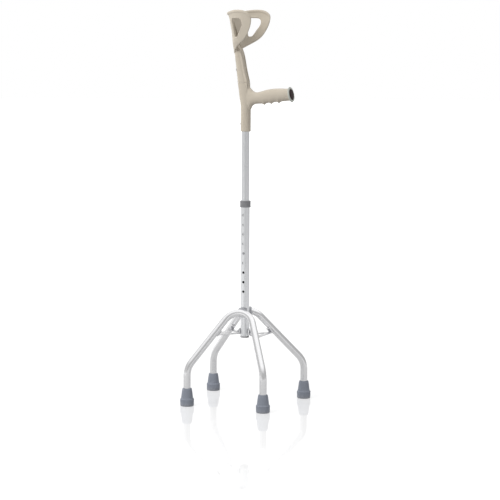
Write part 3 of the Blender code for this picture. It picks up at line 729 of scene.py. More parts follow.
def snap_button():
    flange_r, out, inside = 0.0042, 0.0066, 0.0054
    shoulder = BUTTON_TIP_Y - BUTTON_DOME
    dome = [(BUTTON_R * sin(radians(a)), shoulder + BUTTON_DOME * cos(radians(a))) for a in range(0, 91, 15)]
    outline = dome + [(BUTTON_R, out), (flange_r, out), (flange_r, inside), (0, inside)]
    return shade(turned("button_dome", outline, POLE + UP * BUTTON_Z, (0, -1, 0), steps=48), 50)


dress(snap_button(), "snap_button")

# %% [markdown]
# ## Mouldings grown by extrusion
#
# The moulding round the tube and the grip are both stacks of ovals. A disc is the start: its face is
# extruded to the next level, scaled there, and turned where the grip tilts. A table holds a few measured
# levels, and a smooth curve through them gives the levels in between.

# %% A curve through a table
def along(table, x):
    """A row of a table at x, on smooth curves through the table's rows."""
    last = len(table) - 1
    k = max(0, min(last - 1, sum(row[0] <= x for row in table) - 1))
    rows = [table[max(0, min(last, k + i))] for i in (-1, 0, 1, 2)]
    span = rows[2][0] - rows[1][0]
    t = (x - rows[1][0]) / span
    found = []
    for column in range(1, len(table[0])):
        before, low, high, after = (row[column] for row in rows)
        rise_low = (high - before) / (rows[2][0] - rows[0][0]) * span
        rise_high = (after - low) / (rows[3][0] - rows[1][0]) * span
        found.append((2 * t**3 - 3 * t**2 + 1) * low + (t**3 - 2 * t**2 + t) * rise_low
                     + (3 * t**2 - 2 * t**3) * high + (t**3 - t**2) * rise_high)
    return found


# %% Growing a solid
def grow(name, sections, across, sides=56):
    """Extrude a disc through sections of (centre, normal, half size, half width across)."""
    centre, normal, half, width = sections[0]
    obj = begin(name, bpy.ops.mesh.primitive_circle_add, vertices=sides, radius=1, fill_type="NGON")
    up = across.cross(normal)
    turn = Matrix((across * width, up * half, normal)).transposed().to_4x4()
    obj.matrix_world = Matrix.Translation(centre) @ turn
    settle(obj)
    pick(obj, "FACE", everything)
    for after in sections[1:]:
        bpy.ops.mesh.extrude_region_move(TRANSFORM_OT_translate={"value": after[0] - centre})
        mesh = bmesh.from_edit_mesh(obj.data)
        new_up = across.cross(after[1])
        for vert in (v for v in mesh.verts if v.select):
            offset = vert.co - after[0]
            vert.co = (after[0] + across * (offset.dot(across) * after[3] / width)
                       + new_up * (offset.dot(up) * after[2] / half))
        bmesh.update_edit_mesh(obj.data)
        centre, normal, half, width = after
        up = new_up
    leave()
    return close_up(obj)


# %% Trimming and fusing
def trimmed(obj, z, side):
    """Cut off what is above a height, or below it where the side is -1, and close the cut flat."""
    pick(obj, "FACE", everything)
    bpy.ops.mesh.bisect(plane_co=(0, 0, z), plane_no=(0, 0, side), use_fill=True, clear_outer=True)
    leave()
    return obj


def blended(name, parts, voxel, rounds):
    """Fuse overlapping solids into one skin, with soft corners where they meet."""
    only(parts[0])
    for part in parts[1:]:
        part.select_set(True)
    bpy.ops.object.join()
    skin = named(name)
    apply(skin, "REMESH", mode="VOXEL", voxel_size=voxel)
    return apply(skin, "SMOOTH", factor=0.6, iterations=rounds)


# %% [markdown]
# ## Handle
#
# The handle is one moulding: a sleeve on the tube and a grip with three finger ridges underneath. Sleeve
# and grip are grown apart and fused by a voxel remesh, and a few rounds of smoothing leave the soft
# fillets that a mould has. The bore and the cap's socket are cut last, so that their edges stay crisp.
# The sleeve goes on upwards as the spine of the cuff. Both share one table, so they meet without a step.

# %% Sleeve and spine
SPINE = (
    # height, rear face, front face and half width
    (0.679, -0.0126, 0.0126, 0.0126),
    (0.735, -0.0126, 0.0126, 0.0126),
    (0.752, -0.0142, 0.0130, 0.0125),
    (0.767, -0.0165, 0.0132, 0.0125),
    (0.781, -0.0183, 0.0122, 0.0124),
    (0.796, -0.0206, 0.0090, 0.0122),
    (0.812, -0.0222, 0.0046, 0.0119),
    (0.825, -0.0238, 0.0013, 0.0117),
    (0.840, -0.0256, -0.0016, 0.0115),
    (0.858, -0.0280, -0.0048, 0.0114),
    (0.872, -0.0298, -0.0068, 0.0114),
    (0.886, -0.0308, -0.0150, 0.0116),
    (0.900, -0.0316, -0.0258, 0.0112),
)
SEAM_Z = 0.800
TRIM = 0.006
ACROSS = Vector((0, 1, 0))


def spine(name, low, high, step=0.002):
    """The moulding round the tube between two heights."""
    count = round((high - low) / step)
    sections = []
    for k in range(count + 1):
        z = low + (high - low) * k / count
        rear, front, half = along(SPINE, z)
        sections.append((from_pole((rear + front) / 2, 0, z), UP, (front - rear) / 2, half))
    return grow(name, sections, ACROSS)


print(f"the two mouldings meet {SEAM_Z * 1000:.0f} mm up")

# %% [markdown]
# ## Flanges
#
# Two thin fins stiffen the front of the spine, with a shallow web between them. Higher up they run in
# towards the middle of the cuff's back. Each is a flat grid stood on edge between its root and its crest,
# and Solidify gives it thickness. A bead along the crest catches the light.

# %% The fins' measures
FIN = (
    # height, distance to the side of the middle, and how far forward of the pole the crest stands
    (0.782, 0.0086, 0.0050),
    (0.790, 0.0088, 0.0068),
    (0.801, 0.0090, 0.0062),
    (0.813, 0.0090, 0.0034),
    (0.826, 0.0090, 0.0002),
    (0.840, 0.0090, -0.0026),
    (0.852, 0.0092, -0.0048),
    (0.864, 0.0098, -0.0076),
    (0.873, 0.0102, -0.0102),
    (0.881, 0.0100, -0.0135),
    (0.889, 0.0095, -0.0178),
    (0.905, 0.0085, -0.0215),
    (0.922, 0.0065, -0.0255),
    (0.936, 0.0045, -0.0300),
    (0.952, 0.0025, -0.0344),
)
FIN_THICK = 0.0022
CREST_R = 0.0014
WEB_THICK = 0.0172
WEB_SUNK = 0.0012
WEB_TOP_Z = 0.872
# how far short of the seam the fins end
FIN_SHORT = 0.00005
print(f"fins {FIN_THICK * 1000:.1f} mm thick, from {FIN[0][0] * 1000:.0f} to {FIN[-1][0] * 1000:.0f} mm")


# %% Fins and web
def fin_root(z, aside):
    """Where a fin starts: in the middle of the spine, or higher up in the middle of the cuff's wall."""
    if z < SPINE[-2][0]:
        return sum(along(SPINE, z)[:2]) / 2
    centre, radius = along(CUFF, z)[:2]
    inside = radius - CUFF_WALL / 2
    return centre - max(0, inside**2 - aside**2) ** 0.5


def fin(side, low, high, thick=FIN_THICK, sunk=0.0):
    """A fin on the spine's front corner, which higher up runs in towards the middle of the back."""
    plate = begin("fin", bpy.ops.mesh.primitive_grid_add, x_subdivisions=3, y_subdivisions=60, size=2)
    for vert in plate.data.vertices:
        z = low + (high - low) * (vert.co.y + 1) / 2
        aside, stand = along(FIN, z)
        root = fin_root(z, aside)
        x = root + (stand - sunk - root) * (vert.co.x + 1) / 2
        vert.co = from_pole(x, side * aside, z)
    apply(plate, "SOLIDIFY", thickness=thick, offset=0, use_even_offset=True)
    return soften(close_up(plate), 0.0005, 2, 60)


def crest(side, low, high):
    """A bead along a fin's crest, which catches the light."""
    count = max(4, round((high - low) / 0.004))
    route = []
    for k in range(count + 1):
        z = low + (high - low) * k / count
        aside, stand = along(FIN, z)
        route.append(from_pole(stand - CREST_R / 2, side * aside, z))
    return tube("crest", route, CREST_R, sides=16)


def flanges(low, high):
    """The two fins with their beads, and the shallow web between them on the spine's front."""
    made = [fin(0, low, min(high, WEB_TOP_Z), WEB_THICK, WEB_SUNK)]
    for side in (-1, 1):
        made += [fin(side, low, high), crest(side, low, high)]
    return made


stand_out = along(FIN, SEAM_Z)[1] - fin_root(SEAM_Z, 0)
print(f"at the seam a fin is {stand_out * 1000:.1f} mm deep from root to crest")

# %% Grip
GRIP_END_X = 0.1175
GRIP_TILT = radians(11)
GRIP_TILT_X = 0.03
GRIP = (
    # distance out, top and underside at the middle, and half width
    (0.0000, 0.7920, 0.7270, 0.0112),
    (0.0124, 0.7863, 0.7322, 0.0116),
    (0.0164, 0.7820, 0.7402, 0.0119),
    (0.0215, 0.7780, 0.7450, 0.0122),
    (0.0290, 0.7759, 0.7472, 0.0126),
    (0.0430, 0.7785, 0.7480, 0.0134),
    (0.0538, 0.7817, 0.7492, 0.0140),
    (0.0645, 0.7838, 0.7508, 0.0144),
    (0.0778, 0.7855, 0.7524, 0.0147),
    (0.0912, 0.7861, 0.7537, 0.0149),
    (0.1072, 0.7861, 0.7555, 0.0150),
    (0.1175, 0.7857, 0.7562, 0.0150),
)
RIDGES = (0.0498, 0.0685, 0.0885)
RIDGE_HEIGHT = 0.0040
RIDGE_REACH = 0.0056


def ridge(x):
    """How far a finger ridge stands out at a place along the grip."""
    return RIDGE_HEIGHT * sum(max(0, 1 - abs(x - place) / RIDGE_REACH) ** 1.3 for place in RIDGES)


def grip():
    sections = []
    count = 94
    for k in range(count + 1):
        x = GRIP_END_X * k / count
        top, under, half = along(GRIP, x)
        tilt = GRIP_TILT * min(1, max(0, (x - GRIP_TILT_X) / (GRIP_END_X - GRIP_TILT_X)))
        normal = Vector((cos(tilt), 0, sin(tilt)))
        sections.append((from_pole(x, 0, (top + under) / 2), normal, (top - under) / 2, half))
    solid = grow("grip_solid", sections, ACROSS)
    for vert in solid.data.vertices:
        x = vert.co.x - POLE.x
        top, under, _ = along(GRIP, max(0, min(GRIP_END_X, x)))
        depth = ((top + under) / 2 - vert.co.z) / ((top - under) / 2)
        if depth > 0:
            vert.co.z -= ridge(x) * min(1, depth) ** 2
    return solid


print(f"grip {GRIP_END_X * 1000:.0f} mm long with {len(RIDGES)} ridges")

# %% Handle moulding
sleeve_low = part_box("handle_moulding")[0].z
CAP_STEM_R = 0.0108
CAP_STEM_LENGTH = 0.010
GRIP_AXIS = Vector((cos(GRIP_TILT), 0, sin(GRIP_TILT)))
end_top, end_under, _ = along(GRIP, GRIP_END_X)
GRIP_END = from_pole(GRIP_END_X, 0, (end_top + end_under) / 2)


def handle():
    parts = [spine("sleeve_solid", sleeve_low, SEAM_Z + TRIM), grip()]
    skin = trimmed(blended("handle_skin", parts, voxel=0.0007, rounds=12), SEAM_Z - GAP / 2, 1)
    cut(skin, *flanges(FIN[0][0], SEAM_Z - GAP / 2 - FIN_SHORT), operation="UNION")
    bore = tube("bore", upper_route(0.66, 0.82), UPPER_R + GAP, sides=64)
    socket = rod("socket", GRIP_END - GRIP_AXIS * (CAP_STEM_LENGTH + 0.002), GRIP_END + GRIP_AXIS * 0.01,
                 CAP_STEM_R + GAP, 64)
    cut(skin, bore, socket, rivet_drill(HANDLE_RIVET_Z))
    return shade(skin)


dress(handle(), "handle_moulding")

# %% [markdown]
# ## The grip's end
#
# A pale cap plugs the grip and flares into a flange that stops the hand. A glossy maroon disc is set in
# it. The disc's face is left plain, with one turned ring near its edge.

# %% Cap and disc
CAP_R = 0.019
CAP_THICK = 0.0036
DISC_R = 0.0135
DISC_THICK = 0.0016


def end_cap():
    recess = CAP_THICK - DISC_THICK / 2
    stem, hollow = CAP_STEM_R, CAP_STEM_R - 0.002
    outline = [(0, recess), (DISC_R + GAP, recess), (DISC_R + GAP, CAP_THICK), (CAP_R - 0.0013, CAP_THICK),
               (CAP_R, CAP_THICK - 0.0013), (CAP_R, 0.0012), (CAP_R - 0.0012, 0), (stem, 0),
               (stem, -CAP_STEM_LENGTH), (hollow, -CAP_STEM_LENGTH), (hollow, recess - 0.0015),
               (0, recess - 0.0015)]
    cap = turned("grip_cap", outline, GRIP_END + GRIP_AXIS * GAP, GRIP_AXIS)
    return shade(soften(cap, 0.0006))


def end_disc():
    low = CAP_THICK - DISC_THICK / 2 + GAP
    ring = DISC_R * 0.80
    outline = [(0, low), (DISC_R, low), (DISC_R, low + 0.0006), (DISC_R - 0.0005, low + 0.0011),
               (ring + 0.0006, low + 0.0013), (ring + 0.0003, low + 0.0010), (ring - 0.0003, low + 0.0010),
               (ring - 0.0006, low + 0.0014), (DISC_R * 0.4, low + DISC_THICK), (0, low + DISC_THICK)]
    return shade(turned("grip_disc", outline, GRIP_END + GRIP_AXIS * GAP, GRIP_AXIS), 20)


dress(end_cap(), "grip_end_cap")
dress(end_disc(), "grip_end_disc")

# %% [markdown]
# ## Cuff
#
# The cuff is an open scoop that the forearm is pushed into from the front, with a big window in each
# wing. It is the hardest form here. The windows' faces are deleted from a flat grid, the grid is wrapped
# round the arm level by level, and subdivision rounds the outline. The grid is the middle of the wall:
# Solidify gives it thickness, a bead follows every free edge, and all of it is fused with the spine. The
# fins are joined on after the remesh, which would swallow anything so thin.

# %% The cuff's measures
CUFF = (
    # height, centre and radius of the outer wall, and the turns from the back to the window's rear edge,
    # its middle and front edge, and the free edge
    (0.8740, -0.0135, 0.0174, 18, 24, 30, 36),
    (0.8820, -0.0055, 0.0258, 24, 32, 40, 48),
    (0.8915, 0.0062, 0.0390, 34, 44, 55, 66),
    (0.9010, 0.0137, 0.0475, 43, 53, 66, 80),
    (0.9130, 0.0198, 0.0538, 52, 57, 63, 90),
    (0.9280, 0.0225, 0.0586, 50, 60, 71, 98),
    (0.9430, 0.0236, 0.0623, 48, 65, 83, 103),
    (0.9585, 0.0237, 0.0658, 50, 65, 79, 105),
    (0.9690, 0.0222, 0.0671, 46, 64, 81, 101),
    (0.9785, 0.0206, 0.0670, 44, 63, 80, 96),
)
CUFF_WALL = 0.0042
# rise of the top edge at each of those turns, from the back, where it is lowest, to the free edge
TOP_RISE = (-0.0075, -0.0062, -0.0030, 0.0009, 0.0009, 0.0000, -0.0026)
WINDOW_LEVELS = (4, 7)
RIM_R = 0.0023
TOP_RIM_R = 0.0038
COLUMNS = 12
# the right wing hangs a little lower than the left one, by this share of its distance from the middle
RIGHT_DROP = 0.05
print(len(CUFF), "levels of", COLUMNS + 1, "points")


# %% A point of the wall
def sheet_point(level, column):
    """A point of the wall's middle surface. Columns run from the right free edge to the left one.

    The sheet stops short of each free edge by the bead that follows it.
    """
    z, centre, radius, rear, middle_turn, front, edge = CUFF[level]
    radius -= CUFF_WALL / 2
    rim = degrees(RIM_R / radius)
    first, last = WINDOW_LEVELS
    if first <= level <= last:
        rear -= rim
        front += rim
    edge -= rim
    z += RIM_R * ((level == last) - (level == first)) - TOP_RIM_R * (level == len(CUFF) - 1)
    turns = (0, rear / 2, rear, middle_turn, front, (front + edge) / 2, edge)
    step = column - COLUMNS // 2
    turn = radians(copysign(turns[abs(step)], step))
    share = max(0, 1 - (len(CUFF) - 1 - level) / 2)
    aside = radius * sin(turn)
    z += share * TOP_RISE[abs(step)] + RIGHT_DROP * min(0, aside)
    return from_pole(centre - radius * cos(turn), aside, z)


for wing, column in (("right", 0), ("left", COLUMNS)):
    print(f"{wing} free edge up to {sheet_point(len(CUFF) - 1, column).z * 1000:.0f} mm")


# %% The wrapped sheet
def in_window(face):
    first, last = WINDOW_LEVELS
    place = middle(face)
    column = (place.x + 1) / 2 * COLUMNS
    level = (place.y + 1) / 2 * (len(CUFF) - 1)
    return first < level < last and 2 < abs(column - COLUMNS / 2) < 4


def cuff_sheet():
    sheet = begin("cuff_sheet", bpy.ops.mesh.primitive_grid_add, x_subdivisions=COLUMNS,
                  y_subdivisions=len(CUFF) - 1, size=2)
    pick(sheet, "FACE", in_window)
    bpy.ops.mesh.delete(type="FACE")
    leave()
    for vert in sheet.data.vertices:
        column = round((vert.co.x + 1) / 2 * COLUMNS)
        level = round((vert.co.y + 1) / 2 * (len(CUFF) - 1))
        vert.co = sheet_point(level, column)
    return apply(sheet, "SUBSURF", levels=3, render_levels=3)


# %% Beads along the free edges
GROWS_BELOW = 0.022
GROWS_OVER = 0.016


def beads(sheet):
    """A round bead on each free edge of the sheet, thicker along the top."""
    edges = twin(sheet, "cuff_beads")
    pick(edges, "EDGE", lambda edge: edge.is_boundary)
    bpy.ops.mesh.select_all(action="INVERT")
    bpy.ops.mesh.delete(type="EDGE_FACE")
    leave()
    only(edges)
    bpy.ops.object.convert(target="CURVE")
    curve = bpy.context.active_object.data
    top = CUFF[-1][0]
    for spline in curve.splines:
        for point in spline.points:
            near_top = max(0, min(1, (point.co.z - (top - GROWS_BELOW)) / GROWS_OVER))
            point.radius = 1 + near_top * (TOP_RIM_R / RIM_R - 1)
    curve.bevel_depth = RIM_R
    curve.bevel_resolution = 6
    bpy.ops.object.convert(target="MESH")
    return bpy.context.active_object


# %% Cuff moulding
SPINE_TOP_Z = 0.900
RECESS_Z = (0.786, 0.870)
RECESS_HALF = 0.0078
RECESS_DEPTH = 0.0012
RECESS_FADE = (0.006, 0.010)
FRONT_SKIN = 0.006


def hollow_front(skin):
    """Press a shallow channel into the spine's front face, between the fins."""
    low, high = RECESS_Z
    fade_low, fade_high = RECESS_FADE
    for vert in skin.data.vertices:
        if vert.normal.x > 0.2 and low < vert.co.z < high:
            front = POLE.x + along(SPINE, vert.co.z)[1]
            across = max(0, 1 - (abs(vert.co.y) / RECESS_HALF) ** 6)
            fade = min(1, (vert.co.z - low) / fade_low, (high - vert.co.z) / fade_high)
            near = vert.co.x > front - FRONT_SKIN
            vert.co.x -= RECESS_DEPTH * across * max(0, fade) * near


def cuff():
    sheet = cuff_sheet()
    rim = beads(sheet)
    apply(sheet, "SOLIDIFY", thickness=CUFF_WALL - 0.0004, offset=0)
    parts = [close_up(sheet), rim, spine("cuff_spine", SEAM_Z - TRIM, SPINE_TOP_Z)]
    skin = trimmed(blended("cuff_skin", parts, voxel=0.0008, rounds=8), SEAM_Z + GAP / 2, -1)
    hollow_front(skin)
    cut(skin, *flanges(SEAM_Z + GAP / 2 + FIN_SHORT, FIN[-1][0]), operation="UNION")
    bore = tube("bore", upper_route(0.72, UPPER_Z[1] + 0.001), UPPER_R + GAP, sides=64)
    cut(skin, bore, rivet_drill(CUFF_RIVET_Z))
    return shade(skin)


dress(cuff(), "cuff_moulding")

# %% [markdown]
# ## Rivets in the back
#
# A blind rivet holds each moulding on the tube. Its head is a low dome with a dimple where the pin broke
# off.

# %% Back rivets
def back_rivet(node, z):
    place, out = rear_wall(z)
    seat = (lean_x(z) - along(SPINE, z)[0]) * -out.x + GAP
    inner = UPPER_R - TUBE_WALL - 0.0008
    outline = [(0, seat + 0.0005), (0.0008, seat + 0.0005), (0.0011, seat + 0.0009), (0.0020, seat + 0.0008),
               (0.0031, seat + 0.0005), (0.0037, seat), (RIVET_R, seat), (RIVET_R, inner), (0, inner)]
    return dress(shade(turned(node + "_head", outline, place, out, steps=40), 40), node)


back_rivet("handle_rivet", HANDLE_RIVET_Z)
back_rivet("cuff_rivet", CUFF_RIVET_Z)

# %% [markdown]
# ## Arches
#
# Each pair of legs is one tube bent at both feet and over the crown, close beside the pole. The left arch
# is wider than the right one, so that the crutch stands clear of the user's foot.

# %% Arches
LEG_R = 0.00875
LEG_WALL = 0.0012
LEG_BEND_Z = 0.095
LEG_BEND_R = 0.050
LEG_END_Z = 0.0131
CORNER = {"right": (0.002, 0.0035, 0.2746), "left": (0.001, 0.014, 0.2500)}
CROWN_Y = {"right": 0.0250, "left": 0.0275}
LEGS = [(end, side) for side in ("right", "left") for end in ("rear", "front")]


def foot_axis(side, end):
    """Where a foot's tip stands on the floor."""
    low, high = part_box(f"foot_tip_{end}_{side}")
    return Vector(((low.x + high.x) / 2, (low.y + high.y) / 2, 0))


def leg_corners(side):
    """Foot, bend, crown corner, bend and foot of one arch, rear leg first."""
    rear, front = foot_axis(side, "rear"), foot_axis(side, "front")
    return [rear + UP * LEG_END_Z, rear + UP * LEG_BEND_Z, POLE + Vector(CORNER[side]),
            front + UP * LEG_BEND_Z, front + UP * LEG_END_Z]


def crown_radius(side):
    """The bend that puts the crown's middle as far out as it stands."""
    _, rear, corner, front, _ = leg_corners(side)
    back, ahead = (rear - corner).normalized(), (front - corner).normalized()
    half = back.angle(ahead) / 2
    outward = (back + ahead).normalized()
    drop = (CROWN_Y[side] - corner.y * copysign(1, rear.y)) / abs(outward.y)
    return drop * sin(half) / (1 - sin(half))


def arch_route(side):
    return rounded(leg_corners(side), [LEG_BEND_R, crown_radius(side), LEG_BEND_R])


for side in ("right", "left"):
    dress(shade(tube(f"{side}_arch_bent", arch_route(side), LEG_R, LEG_WALL)), f"{side}_arch")

# %% [markdown]
# ## Pieces cut from plate and block
#
# The saddles, the braces, the clip and the small inner pieces already have the right outline in the
# frame. A copy of the node is merged, its flat faces are made whole again, and its edges get the small
# rounding that a stamped or cast piece has.

# %% Softened copies
FLAT = radians(1)


def softened(node, width, segments=2, angle=35):
    """A copy of a node with rounded edges, shown in its place."""
    copy = twin(frame["nodes"][node], node + "_soft")
    for key in list(copy.keys()):
        del copy[key]
    copy.parent = None
    close_up(copy)
    pick(copy, "VERT", everything)
    bpy.ops.mesh.dissolve_limited(angle_limit=FLAT)
    leave()
    soften(copy, width, segments, angle)
    return dress(shade(copy), node)


for node in ("right_saddle", "left_saddle"):
    softened(node, 0.0008, 3)
for node in ("front_brace", "rear_brace"):
    softened(node, 0.0005)
for node in ("button_clip", "tube_end_bush"):
    softened(node, 0.0001, 1)

# %% [markdown]
# ## Bolt, nut and rivets of the base
#
# A bolt through the pole clamps both braces, and a rivet fixes each brace's tab under its leg. Heads are
# spun, and the nut is a six sided bar with its corners turned off.

# %% Where the fixings sit
BRACE_Z = 0.1725
BRACE_THICK = 0.0025
TAB_RIVET = 0.0105
TAB_TURN = radians(35)
TAB_DROP = LEG_R + GAP + BRACE_THICK / 2


def rivet_place(end, side):
    """A brace rivet's place on the leg's axis, and the way out under the leg."""
    _, rear, corner, front, _ = leg_corners(side)
    up = (corner - (front if end == "front" else rear)).normalized()
    outward = Vector((-up.y, up.x, 0)).normalized()
    outward *= -copysign(1, outward.y * rear.y)
    below = up.cross(outward)
    below *= -copysign(1, below.z)
    under = below * cos(TAB_TURN) + outward * sin(TAB_TURN)
    place = corner + under * TAB_DROP
    place += up * (BRACE_Z - place.z) / up.z
    return place + up * TAB_RIVET - under * TAB_DROP, under


print(f"front right rivet {rivet_place('front', 'right')[0].z * 1000:.0f} mm up")


# %% Brace rivets
def brace_rivet_head():
    """One rivet at the origin, with its shank inside the leg and its head along +Z."""
    seat = LEG_R + 2 * GAP + BRACE_THICK
    inner = LEG_R - LEG_WALL - 0.001
    outline = [(0, seat + 0.0017), (0.0012, seat + 0.0016), (0.0024, seat + 0.0012), (0.0034, seat + 0.0006),
               (0.0038, seat), (RIVET_R, seat), (RIVET_R, inner), (0, inner)]
    return shade(turned("rivet_pattern", outline, steps=40), 60)


pattern = brace_rivet_head()
for end, side in LEGS:
    place, under = rivet_place(end, side)
    dress(placed(pattern, f"brace_rivet_head_{end}_{side}", place, under), f"brace_rivet_{end}_{side}")
bpy.data.objects.remove(pattern)

# %% Bolt
BOLT_R = 0.0025
SEAT = LOWER_R + 2 * GAP + BRACE_THICK
TAIL = -SEAT - 0.0055
KEY_R = 0.0015
CLEAR_X = 0.03
bolt_place = POLE + UP * BRACE_BOLT_Z


def beside(x):
    """A point on the bolt's axis."""
    return bolt_place + Vector((x, 0, 0))


def round_bolt():
    head = [(0, SEAT + 0.0030), (0.0014, SEAT + 0.0029), (0.0028, SEAT + 0.0024), (0.0038, SEAT + 0.0015),
            (0.0043, SEAT)]
    shank = [(BOLT_R, SEAT), (BOLT_R, TAIL + 0.0005), (BOLT_R - 0.0005, TAIL), (0, TAIL)]
    bolt = turned("bolt_round_head", head + shank, bolt_place, (1, 0, 0), steps=48)
    return shade(cut(bolt, rod("socket", beside(SEAT + 0.0012), beside(CLEAR_X), KEY_R, 6)))


dress(round_bolt(), "brace_bolt")

# %% Nut
NUT_R = 0.0044
NUT_HEIGHT = 0.0036


def hexagon_nut():
    nut = rod("nut_hexagon", beside(-SEAT - NUT_HEIGHT), beside(-SEAT), NUT_R, 6)
    outline = [(0, SEAT - 0.001), (0.0045, SEAT - 0.001), (0.0045, SEAT + 0.0030), (0.0037, SEAT + 0.0037),
               (0, SEAT + 0.0037)]
    cut(nut, turned("chamfer", outline, bolt_place, (-1, 0, 0)), operation="INTERSECT")
    cut(nut, rod("thread", beside(-CLEAR_X), bolt_place, BOLT_R + GAP))
    return shade(soften(nut, 0.0001, 1))


dress(hexagon_nut(), "brace_nut")

# %% Hub pin
PIN_CHAMFER = 0.0003


def pin():
    low, high = (corner.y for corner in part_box("hub_pin"))
    narrow = HUB_PIN_R - PIN_CHAMFER
    outline = [(0, low), (narrow, low), (HUB_PIN_R, low + PIN_CHAMFER), (HUB_PIN_R, high - PIN_CHAMFER),
               (narrow, high), (0, high)]
    return shade(turned("hub_pin_turned", outline, POLE + UP * HUB_PIN_Z, (0, 1, 0), steps=40))


dress(pin(), "hub_pin")

# %% [markdown]
# ## Rubber tips
#
# A ferrule tip: a tapered sleeve that grips the leg, a shoulder, a wider foot and rings cut under the
# sole. A steel washer inside keeps the tube from cutting through.

# %% Tips
TIP_BORE_Z = 0.0110
SOLE_RINGS = (0.0124, 0.0086, 0.0048)
RING_DEPTH = 0.0014
tip_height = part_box("foot_tip_rear_right")[1].z


def tip_outline():
    bore = LEG_R + GAP
    outside = [(bore, tip_height), (0.0107, tip_height), (0.0113, tip_height - 0.0004),
               (0.0118, tip_height - 0.0016), (0.0130, 0.0360), (0.0141, 0.0270), (0.0149, 0.0206),
               (0.0153, 0.0188), (0.0161, 0.0181), (0.0169, 0.0174), (0.0173, 0.0160), (0.0173, 0.0148),
               (0.0171, 0.0144), (0.0172, 0.0138), (0.0169, 0.0030), (0.0166, 0.0009), (0.0158, 0.0)]
    sole = []
    for ring in SOLE_RINGS:
        sole += [(ring + 0.0011, 0), (ring + 0.0007, RING_DEPTH)]
        sole += [(ring - 0.0007, RING_DEPTH), (ring - 0.0011, 0)]
    return outside + sole + [(0, 0), (0, TIP_BORE_Z), (bore, TIP_BORE_Z)]


pattern = shade(turned("tip_pattern", tip_outline()), 40)
for end, side in LEGS:
    dress(placed(pattern, f"tip_{end}_{side}", foot_axis(side, end)), f"foot_tip_{end}_{side}")
    softened(f"tip_washer_{end}_{side}", 0.0001, 1)
bpy.data.objects.remove(pattern)

# %% [markdown]
# ## Studio
#
# The photograph was taken on a white sweep, with large soft lights. By Light Path the world is plain white
# to the camera, a low even grey to rough surfaces, and a ring of tones to polished ones: brightest
# behind the crutch, and darker round the camera and to its right. The tubes mirror that ring, and its
# dark parts draw the lines that make them look round.

# %% Camera
VIEW_TURN = radians(23)
CAMERA_DISTANCE = 4.300
CAMERA_HEIGHT = 0.8652
CAMERA_PITCH = radians(6.39)
CAMERA_ROLL = radians(0.27)
FOCAL_PIXELS = 1734.6
FRAME_PIXELS = 500
POLE_OFFSET_PIXELS = 4.85

camera_data = bpy.data.cameras.new("camera")
camera_data.sensor_width = 36
camera_data.lens = FOCAL_PIXELS / FRAME_PIXELS * camera_data.sensor_width
camera_data.shift_x = POLE_OFFSET_PIXELS / FRAME_PIXELS
camera = bpy.data.objects.new("camera", camera_data)
bpy.context.scene.collection.objects.link(camera)
right = Vector((cos(VIEW_TURN), sin(VIEW_TURN), 0))
level = Vector((-sin(VIEW_TURN), cos(VIEW_TURN), 0))
ahead = level * cos(CAMERA_PITCH) - UP * sin(CAMERA_PITCH)
lift = right.cross(ahead)
rolled_right = right * cos(CAMERA_ROLL) + lift * sin(CAMERA_ROLL)
rolled_up = lift * cos(CAMERA_ROLL) - right * sin(CAMERA_ROLL)
place = POLE - level * CAMERA_DISTANCE + UP * CAMERA_HEIGHT
camera.matrix_world = (Matrix.Translation(place)
                       @ Matrix((rolled_right, rolled_up, -ahead)).transposed().to_4x4())
bpy.context.scene.camera = camera
print(f"lens {camera_data.lens:.1f} mm")

# %% World
DIFFUSE_LEVEL = 0.42
# the tone a mirror sees round the horizon, by the angle in degrees from the camera towards its right
SURROUND = ((-180, 0.86), (-130, 0.70), (-110, 0.56), (-90, 0.60), (-60, 0.65), (-35, 0.60), (-15, 0.47),
            (0, 0.47), (20, 0.50), (45, 0.52), (75, 0.50), (95, 0.44), (115, 0.42), (135, 0.62), (180, 0.86))
OVERHEAD = 1.15
print(len(SURROUND), "tones round the horizon")


# %% The surround's tones
def surround(nodes, place):
    """The studio's tone in the direction of a place, by its bearing."""
    aside = nodes.add("VectorMath", {"operation": "DOT_PRODUCT"}, {0: place, 1: tuple(right)}, output=1)
    toward = nodes.add("VectorMath", {"operation": "DOT_PRODUCT"}, {0: place, 1: tuple(-level)}, output=1)
    bearing = aside.math("ARCTAN2", aside, toward) / (2 * pi) + 0.5
    return nodes.ramp(bearing, [(angle / 360 + 0.5, tone) for angle, tone in SURROUND])


def make_world():
    world = bpy.data.worlds.new("studio")
    world.use_nodes = True
    bpy.context.scene.world = world
    nodes = Nodes(world.node_tree)
    background = world.node_tree.nodes["Background"]
    direction = nodes.add("TexCoord", output="Generated")
    tall = nodes.part(direction, 2)
    high = nodes.ramp(tall, [(0.45, 0.0), (0.80, 1.0)])
    mirror = surround(nodes, direction) * (1 - high) + high * OVERHEAD
    seen = (nodes.ray("Camera") + nodes.ray("Transmission")).clamped()
    glossy = nodes.ray("Glossy")
    lit = DIFFUSE_LEVEL * (0.85 + tall * 0.15)
    background.inputs["Color"].default_value = (1, 1, 1, 1)
    connect(background.inputs["Strength"], seen + (1 - seen) * (glossy * mirror + (1 - glossy) * lit))
    print("world with", len(world.node_tree.nodes), "nodes")


make_world()

# %% Floor
FLOOR_GLOW = 0.47
FAR_GLOW = 1.02
FLOOR_ALBEDO = 0.50
FLOOR_SEEN_ALBEDO = 0.42
FLOOR_GLOSS = 0.38
NEAR_MIRROR = 0.22
FLOOR_RADIUS = 30
FLOOR_DROP = 0.0002
GLOSS_ROUGHNESS = 0.03


